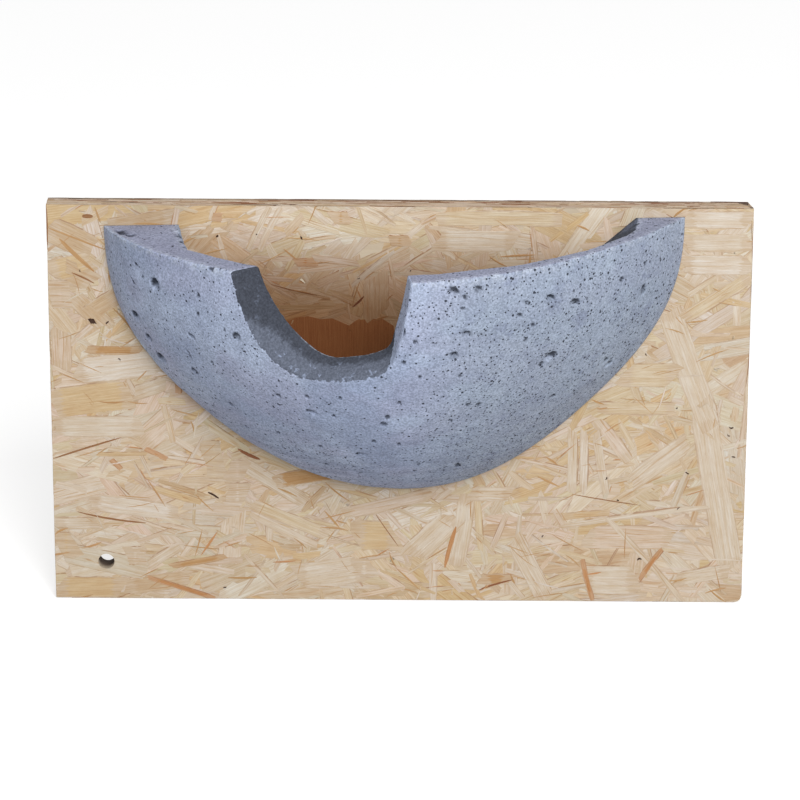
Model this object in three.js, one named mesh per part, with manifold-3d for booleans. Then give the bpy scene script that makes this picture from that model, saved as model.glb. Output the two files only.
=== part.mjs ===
// Artificial swallow nest: a cast concrete half cup with an entrance notch, screwed to a strand board.
// Millimetres, +Z up, the front towards -Y. The origin is the centre of the board's back face.
import * as THREE from "three";
import { mergeVertices } from "three/addons/utils/BufferGeometryUtils.js";
import Module from "manifold-3d";

const wasm = await Module();
wasm.setup();

// Backboard
const BOARD_WIDTH = 300;
const BOARD_HEIGHT = 180;
const BOARD_THICKNESS = 10;
const BOARD_WORN_CORNER = 3; // radius of the lower right corner, the only rounded one
const WALL_HOLE = { x: -127.7, z: -72.8, diameter: 7 };
const CORNER_BREAK = { across: 2, through: 9.5, down: 5 }; // at the back of the upper right corner

// Cup, in its own frame: x along the rim, -y out of the board, z up, rim plane at z = 0
const CUP_PLACE = { x: -2.4, z: 83.6 };
const CUP_TILT = THREE.MathUtils.degToRad(1.24); // the right end sits higher
const CONTACT_GAP = 0.3; // between neighbouring pieces
const CUP_OUTSIDE = {
  middle: 0,
  halfWidth: 123.3,
  depth: 84.2,
  height: 120.4,
  sideExponent: 1.63,
  depthExponent: 0.86,
  depthSkew: 0.08,
};
const CUP_INSIDE = {
  middle: -2.8,
  halfWidth: 107.5,
  depth: 72.1,
  height: 106,
  sideExponent: 1.63,
  depthExponent: 0.715,
  depthSkew: -0.146,
};
// End walls of the hollow, as planes: x where they meet the board at the rim, and how far x moves with
// depth and with height. The right end is flared at the top, so it has two planes.
const HOLLOW_LEFT_END = { x: -91.5, withDepth: 0.185, withHeight: 0 };
const HOLLOW_RIGHT_ENDS = [
  { x: 102.6, withDepth: -0.1, withHeight: 1.18 },
  { x: 88.5, withDepth: -0.1, withHeight: 0.3 },
];
// Uneven outline of the hand-filled mould: part of the radius, by waves per full turn
const MOULD_WAVES = [
  { turns: 2, cosine: 0, sine: -0.004 },
  { turns: 4, cosine: 0.017, sine: -0.004 },
  { turns: 6, cosine: 0.004, sine: 0.003 },
  { turns: 8, cosine: 0.0085, sine: 0 },
];
const OUTSIDE_SEGMENTS = 88;
const INSIDE_SEGMENTS = 56;

// Entrance notch: its edge on the inside and on the outside of the wall, x and z, matched bend by bend.
// Both are drawn as they fall on one plane, seen from a sight point in the hollow's mouth.
const NOTCH_INNER_EDGE = [
  [-68, 6], [-57, -18], [-46, -34], [-34, -42], [-20, -40], [-4, -30], [0, -18], [7, 6],
];
const NOTCH_OUTER_EDGE = [
  [-68, 6], [-61, -17], [-55, -38], [-42, -45], [-26, -42], [-4, -32], [1, -19], [7, 6],
];
const NOTCH_SIGHT = { x: 2, depth: 20 };
const NOTCH_PLANE_DEPTH = 65;
const NOTCH_INNER_DEPTH = 60; // depth of the inner edge, and of the outer edge, on average
const NOTCH_OUTER_DEPTH = 67;
const NOTCH_CUT_FROM = 50; // the cut runs from inside the hollow to well in front of the cup
const NOTCH_CUT_TO = 98;
const NOTCH_STEPS = 30;

// Larger air bubble pits in the outer face, placed by eye to about 5 mm: x, z, width, height, depth and
// turn in degrees
const PITS = [
  [-100, -15, 6, 6, 2.4, 30],
  [-110, -35, 6, 5, 1.6, 20],
  [-105, -45, 5, 4, 2, 30],
  [-100, -55, 7, 6, 2, 25],
  [-85, -35, 4, 2, 1.8, -25],
  [-85, -55, 3, 4, 1.6, 40],
  [-65, -30, 4, 4, 1, 0],
  [-70, -70, 3, 2, 1.5, -20],
  [-35, -65, 5, 2, 2, -15],
  [-5, -70, 3, 3, 2, 0],
  [25, -5, 5, 4, 1.2, 0],
  [35, -5, 3, 3, 1, 0],
  [30, -25, 4, 3, 1.2, 0],
  [25, -35, 4, 4, 1.6, 0],
  [65, -15, 5, 3, 2, -35],
  [75, -20, 5, 4, 1.2, 0],
  [65, -45, 7, 5, 1.2, 10],
  [105, -25, 3, 5, 1.6, 15],
  [90, -60, 5, 3, 2, 25],
  [-15, -90, 5, 3, 1.2, 0],
];
// Chips knocked out of the rim's edges: x, depth and diameter
const RIM_CHIPS = [
  [-114, 10, 5],
  [-90, 15, 4],
  [-88, 22, 4],
  [-86, 30, 4],
];
const PIT_DETAIL = 1;

// Countersunk fixing screws, driven through the board from the back into the cup
const SCREW_PLACES = {
  left: { x: -107, z: -24 },
  right: { x: 111.5, z: -22 },
  bottom: { x: 4, z: -111 },
};
const SCREW_LENGTH = 19;
const SCREW_SUNK = 0.4; // the heads lie just under the board's back face
const SHANK_RADIUS = 2;
const HEAD_RADIUS = 3.8;
const HEAD_LAND = 0.4;
const TIP_LENGTH = 4;
const RECESS_LENGTH = 4.2;
const RECESS_WIDTH = 1;
const RECESS_DEPTH = 1.8;
const ROUND_SEGMENTS = 24;
const CUT_MARGIN = 1; // how far a cutting solid stands past the face it cuts

const WOOD = new THREE.MeshStandardMaterial({ color: 0xdcbc8a, roughness: 0.8, metalness: 0 });
const CONCRETE = new THREE.MeshStandardMaterial({ color: 0x99a0ac, roughness: 0.95, metalness: 0 });
const STEEL = new THREE.MeshStandardMaterial({ color: 0xb4b2aa, roughness: 0.4, metalness: 1 });

function toSolid(geometry) {
  const bare = geometry.clone();
  bare.deleteAttribute("normal");
  bare.deleteAttribute("uv");
  const merged = mergeVertices(bare);
  return new wasm.Manifold(
    new wasm.Mesh({
      numProp: 3,
      vertProperties: merged.attributes.position.array,
      triVerts: new Uint32Array(merged.index.array),
    }),
  );
}

function toGeometry(solid) {
  const mesh = solid.getMesh();
  const geometry = new THREE.BufferGeometry();
  geometry.setAttribute("position", new THREE.BufferAttribute(mesh.vertProperties, mesh.numProp));
  geometry.setIndex(new THREE.BufferAttribute(mesh.triVerts, 1));
  geometry.computeVertexNormals();
  return geometry;
}

function addPiece(group, name, solid, material) {
  const piece = new THREE.Mesh(toGeometry(solid), material);
  piece.name = name;
  group.add(piece);
}

// Part by which the mould's outline stands out or in at an angle round the middle of the rim.
function mouldRadius(angle) {
  let radius = 1;
  for (const wave of MOULD_WAVES) {
    radius += wave.cosine * (1 - Math.cos(wave.turns * angle));
    radius += wave.sine * Math.sin(wave.turns * angle);
  }
  return radius;
}

// A bowl form: a unit sphere drawn out so that its outline on the board is a superellipse and its
// depth follows a power of the distance from that outline.
function bowlSolid(form, segments, outlineRadius) {
  const geometry = new THREE.SphereGeometry(1, segments, segments / 2);
  const places = geometry.attributes.position;
  const power = 2 / form.sideExponent;
  for (let i = 0; i < places.count; i += 1) {
    const across = places.getX(i);
    const out = places.getY(i);
    const up = places.getZ(i);
    const radius = Math.hypot(across, up);
    const angle = Math.atan2(Math.abs(up), across);
    const reach = radius * outlineRadius(angle);
    const cosine = Math.cos(angle);
    const sine = Math.sin(angle);
    const rounding = 2 * (form.depthExponent + form.depthSkew * cosine);
    places.setXYZ(
      i,
      form.middle + reach * form.halfWidth * Math.sign(cosine) * Math.abs(cosine) ** power,
      form.depth * Math.sign(out) * Math.abs(out) ** rounding,
      form.height * reach * Math.sign(up) * sine ** power,
    );
  }
  return toSolid(geometry);
}

// Depth of the cup's outer face in front of its back plane, above a point of that plane.
function outsideDepth(x, z) {
  const form = CUP_OUTSIDE;
  const across = (Math.abs(x) / form.halfWidth) ** form.sideExponent;
  const down = (Math.abs(z) / form.height) ** form.sideExponent;
  const angle = Math.atan2(Math.sqrt(down), Math.sign(x) * Math.sqrt(across));
  const radius = (across + down) ** (1 / form.sideExponent) / mouldRadius(angle);
  const rounding = form.depthExponent + form.depthSkew * Math.cos(angle);
  return form.depth * Math.max(1 - radius * radius, 0) ** rounding;
}

// A point of the outer face and the direction that it faces.
function outsideFrame(x, z) {
  const step = 0.5;
  const slopeX = (outsideDepth(x + step, z) - outsideDepth(x - step, z)) / (2 * step);
  const slopeZ = (outsideDepth(x, z + step) - outsideDepth(x, z - step)) / (2 * step);
  return {
    point: new THREE.Vector3(x, -outsideDepth(x, z), z),
    facing: new THREE.Vector3(-slopeX, -1, -slopeZ).normalize(),
  };
}

// An ellipsoid on a face, to cut a pit: its width and height lie in the face.
function pitSolid(point, facing, width, height, depth, turn) {
  const up = new THREE.Vector3(0, 0, 1);
  const across = new THREE.Vector3().crossVectors(up, facing).normalize();
  const along = new THREE.Vector3().crossVectors(facing, across);
  const geometry = new THREE.IcosahedronGeometry(1, PIT_DETAIL);
  geometry.scale(width / 2, height / 2, depth);
  geometry.rotateZ(THREE.MathUtils.degToRad(turn));
  geometry.applyMatrix4(new THREE.Matrix4().makeBasis(across, along, facing).setPosition(point));
  return toSolid(geometry);
}

// The notch's edge at a depth, on the straight lines through its matched inner and outer edges.
function notchRing(depth) {
  const part = (depth - NOTCH_INNER_DEPTH) / (NOTCH_OUTER_DEPTH - NOTCH_INNER_DEPTH);
  const span = NOTCH_PLANE_DEPTH - NOTCH_SIGHT.depth;
  const innerScale = (NOTCH_INNER_DEPTH - NOTCH_SIGHT.depth) / span;
  const outerScale = (NOTCH_OUTER_DEPTH - NOTCH_SIGHT.depth) / span;
  const curve = (edge) => new THREE.SplineCurve(edge.map(([x, z]) => new THREE.Vector2(x, z)));
  const inner = curve(NOTCH_INNER_EDGE).getPoints(NOTCH_STEPS);
  const outer = curve(NOTCH_OUTER_EDGE).getPoints(NOTCH_STEPS);
  const sight = new THREE.Vector2(NOTCH_SIGHT.x, 0);
  return inner.map((place, i) => {
    const near = place.sub(sight).multiplyScalar(innerScale);
    const far = outer[i].sub(sight).multiplyScalar(outerScale);
    const spot = near.lerp(far, part).add(sight);
    return new THREE.Vector3(spot.x, -depth, spot.y);
  });
}

// A solid between two matched rings, with flat ends.
function ruledSolid(backRing, frontRing) {
  const count = backRing.length;
  const flat = backRing.map((place) => new THREE.Vector2(place.x, place.z));
  const faces = [];
  for (const [a, b, c] of THREE.ShapeUtils.triangulateShape(flat, [])) {
    faces.push(a, c, b, count + a, count + b, count + c);
  }
  for (let i = 0; i < count; i += 1) {
    const next = (i + 1) % count;
    faces.push(i, next, count + next, i, count + next, count + i);
  }
  const geometry = new THREE.BufferGeometry().setFromPoints([...backRing, ...frontRing]);
  geometry.setIndex(faces);
  return toSolid(geometry);
}

// A screw's outline from its tip to the top of its head, grown by a clearance. The axis is Y, and the
// head's top is at the given height.
function screwOutline(clearance, tip, top) {
  const headTop = -SCREW_SUNK;
  const coneTop = headTop - HEAD_LAND;
  const coneFoot = coneTop - (HEAD_RADIUS - SHANK_RADIUS);
  const shank = SHANK_RADIUS + clearance;
  const head = HEAD_RADIUS + clearance;
  return [
    [0, tip],
    [shank, tip + TIP_LENGTH],
    [shank, coneFoot - clearance],
    [head, coneTop - clearance],
    [head, top],
    [0, top],
  ].map(([radius, height]) => new THREE.Vector2(radius, height));
}

function turnedSolid(outline) {
  return toSolid(new THREE.LatheGeometry(outline, ROUND_SEGMENTS));
}

// A screw's axis point on the board's back face, from its place in the cup's frame.
function screwPlace(name) {
  const { x, z } = SCREW_PLACES[name];
  const place = new THREE.Vector3(x, 0, z).applyAxisAngle(new THREE.Vector3(0, 1, 0), -CUP_TILT);
  return place.add(new THREE.Vector3(CUP_PLACE.x, 0, CUP_PLACE.z));
}

// A block beyond the plane through three points, on the side of a direction.
function blockBeyond(points, outward, size) {
  const { normal } = new THREE.Plane().setFromCoplanarPoints(...points);
  if (normal.dot(outward) < 0) {
    normal.negate();
  }
  const block = new THREE.BoxGeometry(size, size, size).translate(0, 0, size / 2);
  block.applyQuaternion(new THREE.Quaternion().setFromUnitVectors(new THREE.Vector3(0, 0, 1), normal));
  return toSolid(block.translate(...points[0].toArray()));
}

// The corner broken off the board: the three points of its plane lie on the board's edges.
function cornerBreakSolid() {
  const right = BOARD_WIDTH / 2;
  const top = BOARD_HEIGHT / 2;
  const points = [
    new THREE.Vector3(right, -CORNER_BREAK.through, top),
    new THREE.Vector3(right, 0, top - CORNER_BREAK.down),
    new THREE.Vector3(right - CORNER_BREAK.across, 0, top),
  ];
  return blockBeyond(points, new THREE.Vector3(1, 0, 1), 2 * BOARD_THICKNESS);
}

// A block beyond an end wall of the hollow.
function endBlock(wall, outward) {
  const reach = CUP_OUTSIDE.halfWidth;
  const points = [
    new THREE.Vector3(wall.x, 0, 0),
    new THREE.Vector3(wall.x + wall.withDepth * reach, -reach, 0),
    new THREE.Vector3(wall.x - wall.withHeight * reach, 0, -reach),
  ];
  return blockBeyond(points, outward, 4 * reach);
}

// The hollow: a bowl form between its end walls.
function hollowSolid() {
  const left = endBlock(HOLLOW_LEFT_END, new THREE.Vector3(-1, 0, 0));
  const [flare, wall] = HOLLOW_RIGHT_ENDS.map((end) => endBlock(end, new THREE.Vector3(1, 0, 0)));
  const bowl = bowlSolid(CUP_INSIDE, INSIDE_SEGMENTS, () => 1);
  return bowl.subtract(left).subtract(flare.intersect(wall));
}

function makeBackboard() {
  const right = BOARD_WIDTH / 2;
  const top = BOARD_HEIGHT / 2;
  const outline = new THREE.Shape();
  outline.moveTo(-right, -top);
  outline.lineTo(right - BOARD_WORN_CORNER, -top);
  const worn = BOARD_WORN_CORNER;
  outline.absarc(right - worn, worn - top, worn, -Math.PI / 2, 0, false);
  outline.lineTo(right, top);
  outline.lineTo(-right, top);
  const hole = new THREE.Path();
  hole.absarc(WALL_HOLE.x, WALL_HOLE.z, WALL_HOLE.diameter / 2, 0, 2 * Math.PI, true);
  outline.holes.push(hole);
  const geometry = new THREE.ExtrudeGeometry(outline, {
    depth: BOARD_THICKNESS,
    bevelEnabled: false,
    curveSegments: ROUND_SEGMENTS / 2,
  });
  geometry.rotateX(Math.PI / 2);
  let board = toSolid(geometry);
  const pocket = turnedSolid(screwOutline(CONTACT_GAP, -2 * SCREW_LENGTH, CUT_MARGIN));
  for (const name of Object.keys(SCREW_PLACES)) {
    board = board.subtract(pocket.translate(screwPlace(name).toArray()));
  }
  return board.subtract(cornerBreakSolid());
}

function makeCup() {
  const reach = 4 * CUP_OUTSIDE.halfWidth;
  const kept = new THREE.BoxGeometry(reach, reach, reach).translate(0, -reach / 2, -reach / 2);
  let cup = bowlSolid(CUP_OUTSIDE, OUTSIDE_SEGMENTS, mouldRadius);
  cup = cup.intersect(toSolid(kept));
  cup = cup.subtract(hollowSolid());
  cup = cup.subtract(ruledSolid(notchRing(NOTCH_CUT_FROM), notchRing(NOTCH_CUT_TO)));
  for (const [x, z, width, height, depth, turn] of PITS) {
    const { point, facing } = outsideFrame(x, z);
    cup = cup.subtract(pitSolid(point, facing, width, height, depth, turn));
  }
  for (const [x, depth, diameter] of RIM_CHIPS) {
    const facing = new THREE.Vector3(0, -1, 0);
    const point = new THREE.Vector3(x, -depth, 0);
    cup = cup.subtract(pitSolid(point, facing, diameter, diameter / 2, diameter / 2, 0));
  }
  const bore = turnedSolid(screwOutline(CONTACT_GAP, -SCREW_LENGTH - CUT_MARGIN, CUT_MARGIN));
  const back = BOARD_THICKNESS + CONTACT_GAP;
  for (const { x, z } of Object.values(SCREW_PLACES)) {
    cup = cup.subtract(bore.translate([x, back, z]));
  }
  return cup;
}

function makeScrew() {
  const headTop = -SCREW_SUNK;
  const recess = new THREE.BoxGeometry(RECESS_LENGTH, 2 * RECESS_DEPTH, RECESS_WIDTH);
  recess.translate(0, headTop, 0);
  const crossing = recess.clone().rotateY(Math.PI / 2);
  let screw = turnedSolid(screwOutline(0, -SCREW_LENGTH, headTop));
  screw = screw.subtract(toSolid(recess)).subtract(toSolid(crossing));
  return screw;
}

const nest = new THREE.Group();
addPiece(nest, "backboard", makeBackboard(), WOOD);

const tilted = new THREE.Group();
tilted.position.set(CUP_PLACE.x, -BOARD_THICKNESS - CONTACT_GAP, CUP_PLACE.z);
tilted.rotation.y = -CUP_TILT;
addPiece(tilted, "nest_cup", makeCup(), CONCRETE);
nest.add(tilted);

const screw = makeScrew();
for (const name of Object.keys(SCREW_PLACES)) {
  addPiece(nest, `fixing_screw_${name}`, screw.translate(screwPlace(name).toArray()), STEEL);
}

export default nest;
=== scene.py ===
import math

import bpy
import numpy as np
from mathutils import Matrix, Vector


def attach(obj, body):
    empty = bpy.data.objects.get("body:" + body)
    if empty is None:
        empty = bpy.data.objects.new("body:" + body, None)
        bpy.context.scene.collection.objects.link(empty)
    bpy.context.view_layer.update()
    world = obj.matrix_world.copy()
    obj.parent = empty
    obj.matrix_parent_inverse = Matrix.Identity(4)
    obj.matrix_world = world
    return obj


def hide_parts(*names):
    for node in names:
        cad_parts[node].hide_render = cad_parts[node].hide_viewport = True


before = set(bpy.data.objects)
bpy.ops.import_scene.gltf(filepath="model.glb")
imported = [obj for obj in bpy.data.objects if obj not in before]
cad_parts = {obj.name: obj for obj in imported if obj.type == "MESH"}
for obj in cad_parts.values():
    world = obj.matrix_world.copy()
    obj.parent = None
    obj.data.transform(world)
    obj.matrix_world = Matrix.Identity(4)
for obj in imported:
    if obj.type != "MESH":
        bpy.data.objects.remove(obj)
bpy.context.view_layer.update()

bl_info = {
    "name": "Concrete swallow nest",
    "version": (1, 0, 0),
    "blender": (4, 5, 0),
    "location": "View3D > Sidebar > Nest",
    "description": "Looks of a cast concrete nest cup on a strand board",
    "category": "Object",
}

MM = 0.001

# Backboard, as in the CAD: the front towards -Y, the origin in the middle of the back face
BOARD_HALF_WIDTH = 150 * MM
BOARD_HALF_HEIGHT = 90 * MM
BOARD_THICKNESS = 10 * MM
WORN_CORNER = 3 * MM
BROKEN_ACROSS = 2 * MM
BROKEN_THROUGH = 9.5 * MM
BROKEN_DOWN = 5 * MM
WALL_HOLE = (-127.7 * MM, -72.8 * MM)
WALL_HOLE_RADIUS = 3.5 * MM
SCREW_POCKET_RADIUS = 4.1 * MM

# Concrete cup, in its own frame: x along the rim, depth out of the board, z up from the rim
CUP_PLACE = (-2.4 * MM, -10.3 * MM, 83.6 * MM)
CUP_TILT = math.radians(1.24)
# Fixing screws: x and z in the cup's frame, and from them on the board
SCREWS_IN_CUP = ((-107 * MM, -24 * MM), (111.5 * MM, -22 * MM), (4 * MM, -111 * MM))
SCREW_PLACES = tuple(
    (
        CUP_PLACE[0] + x * math.cos(CUP_TILT) - z * math.sin(CUP_TILT),
        CUP_PLACE[2] + x * math.sin(CUP_TILT) + z * math.cos(CUP_TILT),
    )
    for x, z in SCREWS_IN_CUP
)
MOULD_WAVES = ((2, 0, -0.004), (4, 0.017, -0.004), (6, 0.004, 0.003), (8, 0.0085, 0))
CUP_OUTSIDE = {
    "middle": 0,
    "half_width": 123.3 * MM,
    "depth": 84.2 * MM,
    "height": 120.4 * MM,
    "side": 1.63,
    "round": 0.86,
    "skew": 0.08,
    "waves": MOULD_WAVES,
}
CUP_INSIDE = {
    "middle": -2.8 * MM,
    "half_width": 107.5 * MM,
    "depth": 72.1 * MM,
    "height": 106 * MM,
    "side": 1.63,
    "round": 0.715,
    "skew": -0.146,
    "waves": (),
}
# End walls of the hollow: x at the rim on the board, how far x moves with height and with depth
HOLLOW_LEFT_END = (-91.5 * MM, 0, 0.185)
HOLLOW_RIGHT_ENDS = ((102.6 * MM, 1.18, 0.1), (88.5 * MM, 0.3, 0.1))

# Range of x over which painted shade turns the hollow dark towards its right end
END_PAINTED_SHADE_RANGE = (80 * MM, 90 * MM)

# Entrance notch: matched bends of its inner and outer edge, in millimetres, drawn on one plane as
# seen from a sight point in the hollow's mouth
NOTCH_INNER_EDGE = ((-68, 6), (-57, -18), (-46, -34), (-34, -42), (-20, -40), (-4, -30), (0, -18), (7, 6))
NOTCH_OUTER_EDGE = ((-68, 6), (-61, -17), (-55, -38), (-42, -45), (-26, -42), (-4, -32), (1, -19), (7, 6))
NOTCH_SIGHT = (2 * MM, 0)
NOTCH_SIGHT_DEPTH = 20 * MM
NOTCH_PLANE_DEPTH = 65 * MM
NOTCH_INNER_DEPTH = 60 * MM
NOTCH_OUTER_DEPTH = 67 * MM

# Larger air bubble pits of the outer face, placed to about 5 mm: x, z, width, height, depth in
# millimetres, turn in degrees
PITS = (
    (-100, -15, 6, 6, 2.4, 30), (-110, -35, 6, 5, 1.6, 20), (-105, -45, 5, 4, 2, 30),
    (-100, -55, 7, 6, 2, 25), (-85, -35, 4, 2, 1.8, -25), (-85, -55, 3, 4, 1.6, 40),
    (-65, -30, 4, 4, 1, 0), (-70, -70, 3, 2, 1.5, -20), (-35, -65, 5, 2, 2, -15),
    (-5, -70, 3, 3, 2, 0), (25, -5, 5, 4, 1.2, 0), (35, -5, 3, 3, 1, 0),
    (30, -25, 4, 3, 1.2, 0), (25, -35, 4, 4, 1.6, 0), (65, -15, 5, 3, 2, -35),
    (75, -20, 5, 4, 1.2, 0), (65, -45, 7, 5, 1.2, 10), (105, -25, 3, 5, 1.6, 15),
    (90, -60, 5, 3, 2, 25), (-15, -90, 5, 3, 1.2, 0),
)
# Width from which a pit's painted shadow lies only under its upper outer edge
LARGE_PIT = 4 * MM
# Chips knocked out of the rim's edges: x, depth and diameter in millimetres
RIM_CHIPS = ((-116, 7, 4), (-114, 10, 5), (-111, 14, 4), (-90, 15, 4), (-88, 22, 4), (-86, 30, 4))

# Flakes that stand out on the board's front, placed to about 5 mm: shade, both ends (x, z) and
# width in millimetres
PLACED_FLAKES = (
    # right
    ("pale", 130, 5, 145, -75, 12), ("pale", 115, 45, 135, -10, 11), ("straw", 150, 60, 120, 40, 6),
    ("white", 120, 85, 150, 85, 8), ("pale", 120, 75, 150, 75, 8), ("white", 120, 65, 150, 65, 9),
    ("straw", 95, 15, 120, 15, 11), ("pale", 75, -10, 75, -40, 5), ("white", 80, -10, 80, -40, 4),
    ("pale", 85, -10, 90, -40, 4), ("blush", 85, -5, 100, -25, 6), ("straw", 85, 0, 120, 0, 6),
    ("pale", 100, -35, 125, -15, 9), ("pale", 70, -55, 135, -45, 3), ("pale", 90, -50, 125, -90, 3),
    ("blush", 80, -60, 120, -60, 11), ("pale", 80, -80, 105, -80, 14), ("pale", 120, -80, 145, -75, 7),
    ("orange", 115, -65, 105, -80, 2.5), ("orange", 80, -70, 85, -90, 2.5),
    ("brown", 75, -40, 105, -45, 0.6), ("brown", 150, 85, 150, 10, 1),
    # bottom middle
    ("pale", 30, -40, 25, -75, 8), ("pale", 30, -40, 50, -40, 7), ("pale", 50, -60, 65, -90, 9),
    ("pale", 5, -70, 25, -50, 12), ("orange", 25, -55, 20, -75, 2), ("honey", 35, -80, 50, -80, 5),
    ("redbrown", 35, -85, 50, -80, 1),
    # top middle and through the entrance
    ("pale", -65, 70, -55, 90, 3), ("white", -60, 70, -50, 90, 3), ("orange", -45, 65, -35, 65, 4),
    ("honey", -30, 85, -20, 85, 6), ("honey", -5, 75, 5, 75, 5), ("blush", -35, 55, -25, 60, 4),
    ("brown", -55, 55, -35, 50, 0.6), ("pale", -10, 60, -10, 40, 11), ("amber", -36, 8, -36, 41, 33),
    ("amber", -12, 8, -12, 41, 21), ("redbrown", -15, 50, -20, 45, 1), ("pale", 15, 75, 50, 75, 10),
    ("straw", 15, 85, 70, 85, 7),
    # left
    ("brown", -150, 90, -150, 70, 1), ("tan", -150, 80, -130, 70, 12), ("tanyellow", -150, 60, -130, 65, 10),
    ("tan", -135, 40, -120, 50, 8), ("blush", -150, 50, -140, 50, 13), ("honey", -150, 80, -125, 70, 1),
    ("brown", -135, 85, -130, 85, 2), ("blush", -145, 35, -145, 15, 9), ("honey", -135, 25, -110, 25, 4),
    ("white", -140, 15, -100, 20, 12), ("tanyellow", -150, 0, -115, 5, 14), ("pale", -115, 5, -100, 10, 7),
    ("orange", -95, 10, -95, 5, 3), ("pale", -150, -10, -110, -10, 10), ("brown", -150, -25, -120, -15, 1),
    ("orange", -110, -20, -100, -25, 2.5), ("orange", -125, -25, -120, -30, 2.5),
    ("straw", -85, -25, -75, -25, 18), ("orange", -80, 85, -75, 85, 4), ("void", -133, 38, -130, 38, 2.5),
    ("void", -78, 76, -77, 77, 1), ("tan", -150, 65, -130, 55, 10), ("tan", -140, 50, -125, 35, 8),
    ("honey", -145, 75, -130, 60, 2), ("brown", -140, 60, -130, 55, 1), ("tan", -125, 80, -95, 85, 8),
    # lower left
    ("white", -135, -45, -95, -50, 8), ("brown", -140, -50, -110, -55, 1), ("pale", -150, -55, -130, -55, 6),
    ("tanyellow", -150, -65, -140, -65, 12), ("tanyellow", -150, -85, -120, -85, 10),
    ("pale", -120, -70, -110, -70, 9), ("pale", -110, -75, -95, -65, 5), ("orange", -110, -80, -80, -90, 2.5),
    ("void", -83, -40, -78, -43, 1), ("tan", -150, -75, -125, -80, 8), ("tan", -120, -85, -90, -80, 8),
    ("honey", -100, -75, -75, -70, 3),
    # bottom left of the middle
    ("redbrown", -70, -20, -60, -25, 1.6), ("blush", -75, -30, -65, -30, 10), ("pale", -70, -25, -40, -45, 7),
    ("honey", -55, -35, -25, -30, 7), ("white", -75, -40, -65, -40, 9), ("pale", -65, -50, -35, -65, 4),
    ("straw", -65, -45, -30, -60, 6), ("blush", -25, -50, 15, -40, 6), ("tanyellow", -20, -60, 0, -60, 14),
    ("brown", -10, -50, 0, -65, 0.6), ("white", -20, -75, -10, -75, 9), ("pale", -45, -80, -15, -75, 13),
)
THIN_FLAKE = 2.4 * MM
# Width from which a placed flake's torn border is at full strength, and how far the domed ones narrow
WHOLE_FADE_WIDTH = 6 * MM
DOME_POINT = 0.55
# Painted shade and painted light on the wood in the hollow: range of depths below the rim over which painted
# shade darkens it, the factors of its darkest painted shade, and how much painted light makes it paler near
# the rim
HOLLOW_SHADE_RANGE = (0, 40 * MM)
HOLLOW_PAINTED_SHADE = (0.44, 0.3, 0.2)
HOLLOW_TOP_PAINTED_LIGHT = 0.22
# Dark marks on the top edge by the broken corner: x, place across the edge, length and width in millimetres
CORNER_MARKS = ((146, 3, 5, 2), (147, 1, 3, 2), (149, -3, 2, 2))
# Smooth flakes in the hollow that no sliver lies on: x, z and radius
SMOOTH_SPOTS = ((-40 * MM, 30 * MM, 8 * MM), (-30 * MM, 31 * MM, 10 * MM), (-16 * MM, 29 * MM, 9 * MM))
FLAKE_SKIRT = 0.12 * MM
FLAKE_SUNK = 0.02 * MM

# Points of the cup's surface: along the left arm, the notch and the right arm of the rim, and down the outer
# face, the hollow and each edge between them
CUP_COLUMNS = (110, 230, 180)
OUTER_ROWS = 122
INNER_ROWS = 30
EDGE_ROWS = 14
# Depths between which the notch's lines meet a face of the cup
NOTCH_DEPTH_RANGE = (30 * MM, 98 * MM)

# Studio: half the floor's width, its points along a side and its gap under the board, the light's size
# in metres, the camera's sensor in millimetres and the end of its view in metres
FLOOR_REACH = 6
FLOOR_POINTS = 13
FLOOR_GAP = 0.4 * MM
LIGHT_SIZE = 0.9
SENSOR_WIDTH = 36
VIEW_END = 50

# Board faces: middle of the face, the direction along it and the direction across it
BOARD_FACES = {
    "front": ((0, -BOARD_THICKNESS, 0), (1, 0, 0), (0, 0, 1)),
    "back": ((0, 0, 0), (-1, 0, 0), (0, 0, 1)),
    "top": ((0, -BOARD_THICKNESS / 2, BOARD_HALF_HEIGHT), (1, 0, 0), (0, 1, 0)),
    "bottom": ((0, -BOARD_THICKNESS / 2, -BOARD_HALF_HEIGHT), (-1, 0, 0), (0, 1, 0)),
    "right": ((BOARD_HALF_WIDTH, -BOARD_THICKNESS / 2, 0), (0, 0, 1), (0, -1, 0)),
    "left": ((-BOARD_HALF_WIDTH, -BOARD_THICKNESS / 2, 0), (0, 0, 1), (0, 1, 0)),
}


def srgb(red, green, blue):
    """Linear colour from display values of 0 to 255."""
    values = np.array((red, green, blue)) / 255
    linear = np.where(values <= 0.04045, values / 12.92, ((values + 0.055) / 1.055) ** 2.4)
    return tuple(float(value) for value in linear)


def lattice_noise(points, cell, seed):
    """Value noise from -1 to 1: random numbers on a cubic lattice of the given cell size, blended between
    the eight corners round each point by a smooth cubic."""
    size = 64
    table = np.random.default_rng(seed).uniform(-1, 1, (size, size, size))
    grid = points / cell
    low = np.floor(grid).astype(int)
    part = grid - low
    part = part * part * (3 - 2 * part)
    total = np.zeros(len(points))
    for corner in np.ndindex(2, 2, 2):
        weight = np.prod(np.where(np.array(corner) == 1, part, 1 - part), axis=1)
        index = (low + np.array(corner)) % size
        total += weight * table[index[:, 0], index[:, 1], index[:, 2]]
    return total


def smooth_step(value, low, high):
    """0 below low, 1 above high and a smooth cubic between them."""
    part = np.clip((value - low) / (high - low), 0, 1)
    return part * part * (3 - 2 * part)


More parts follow.
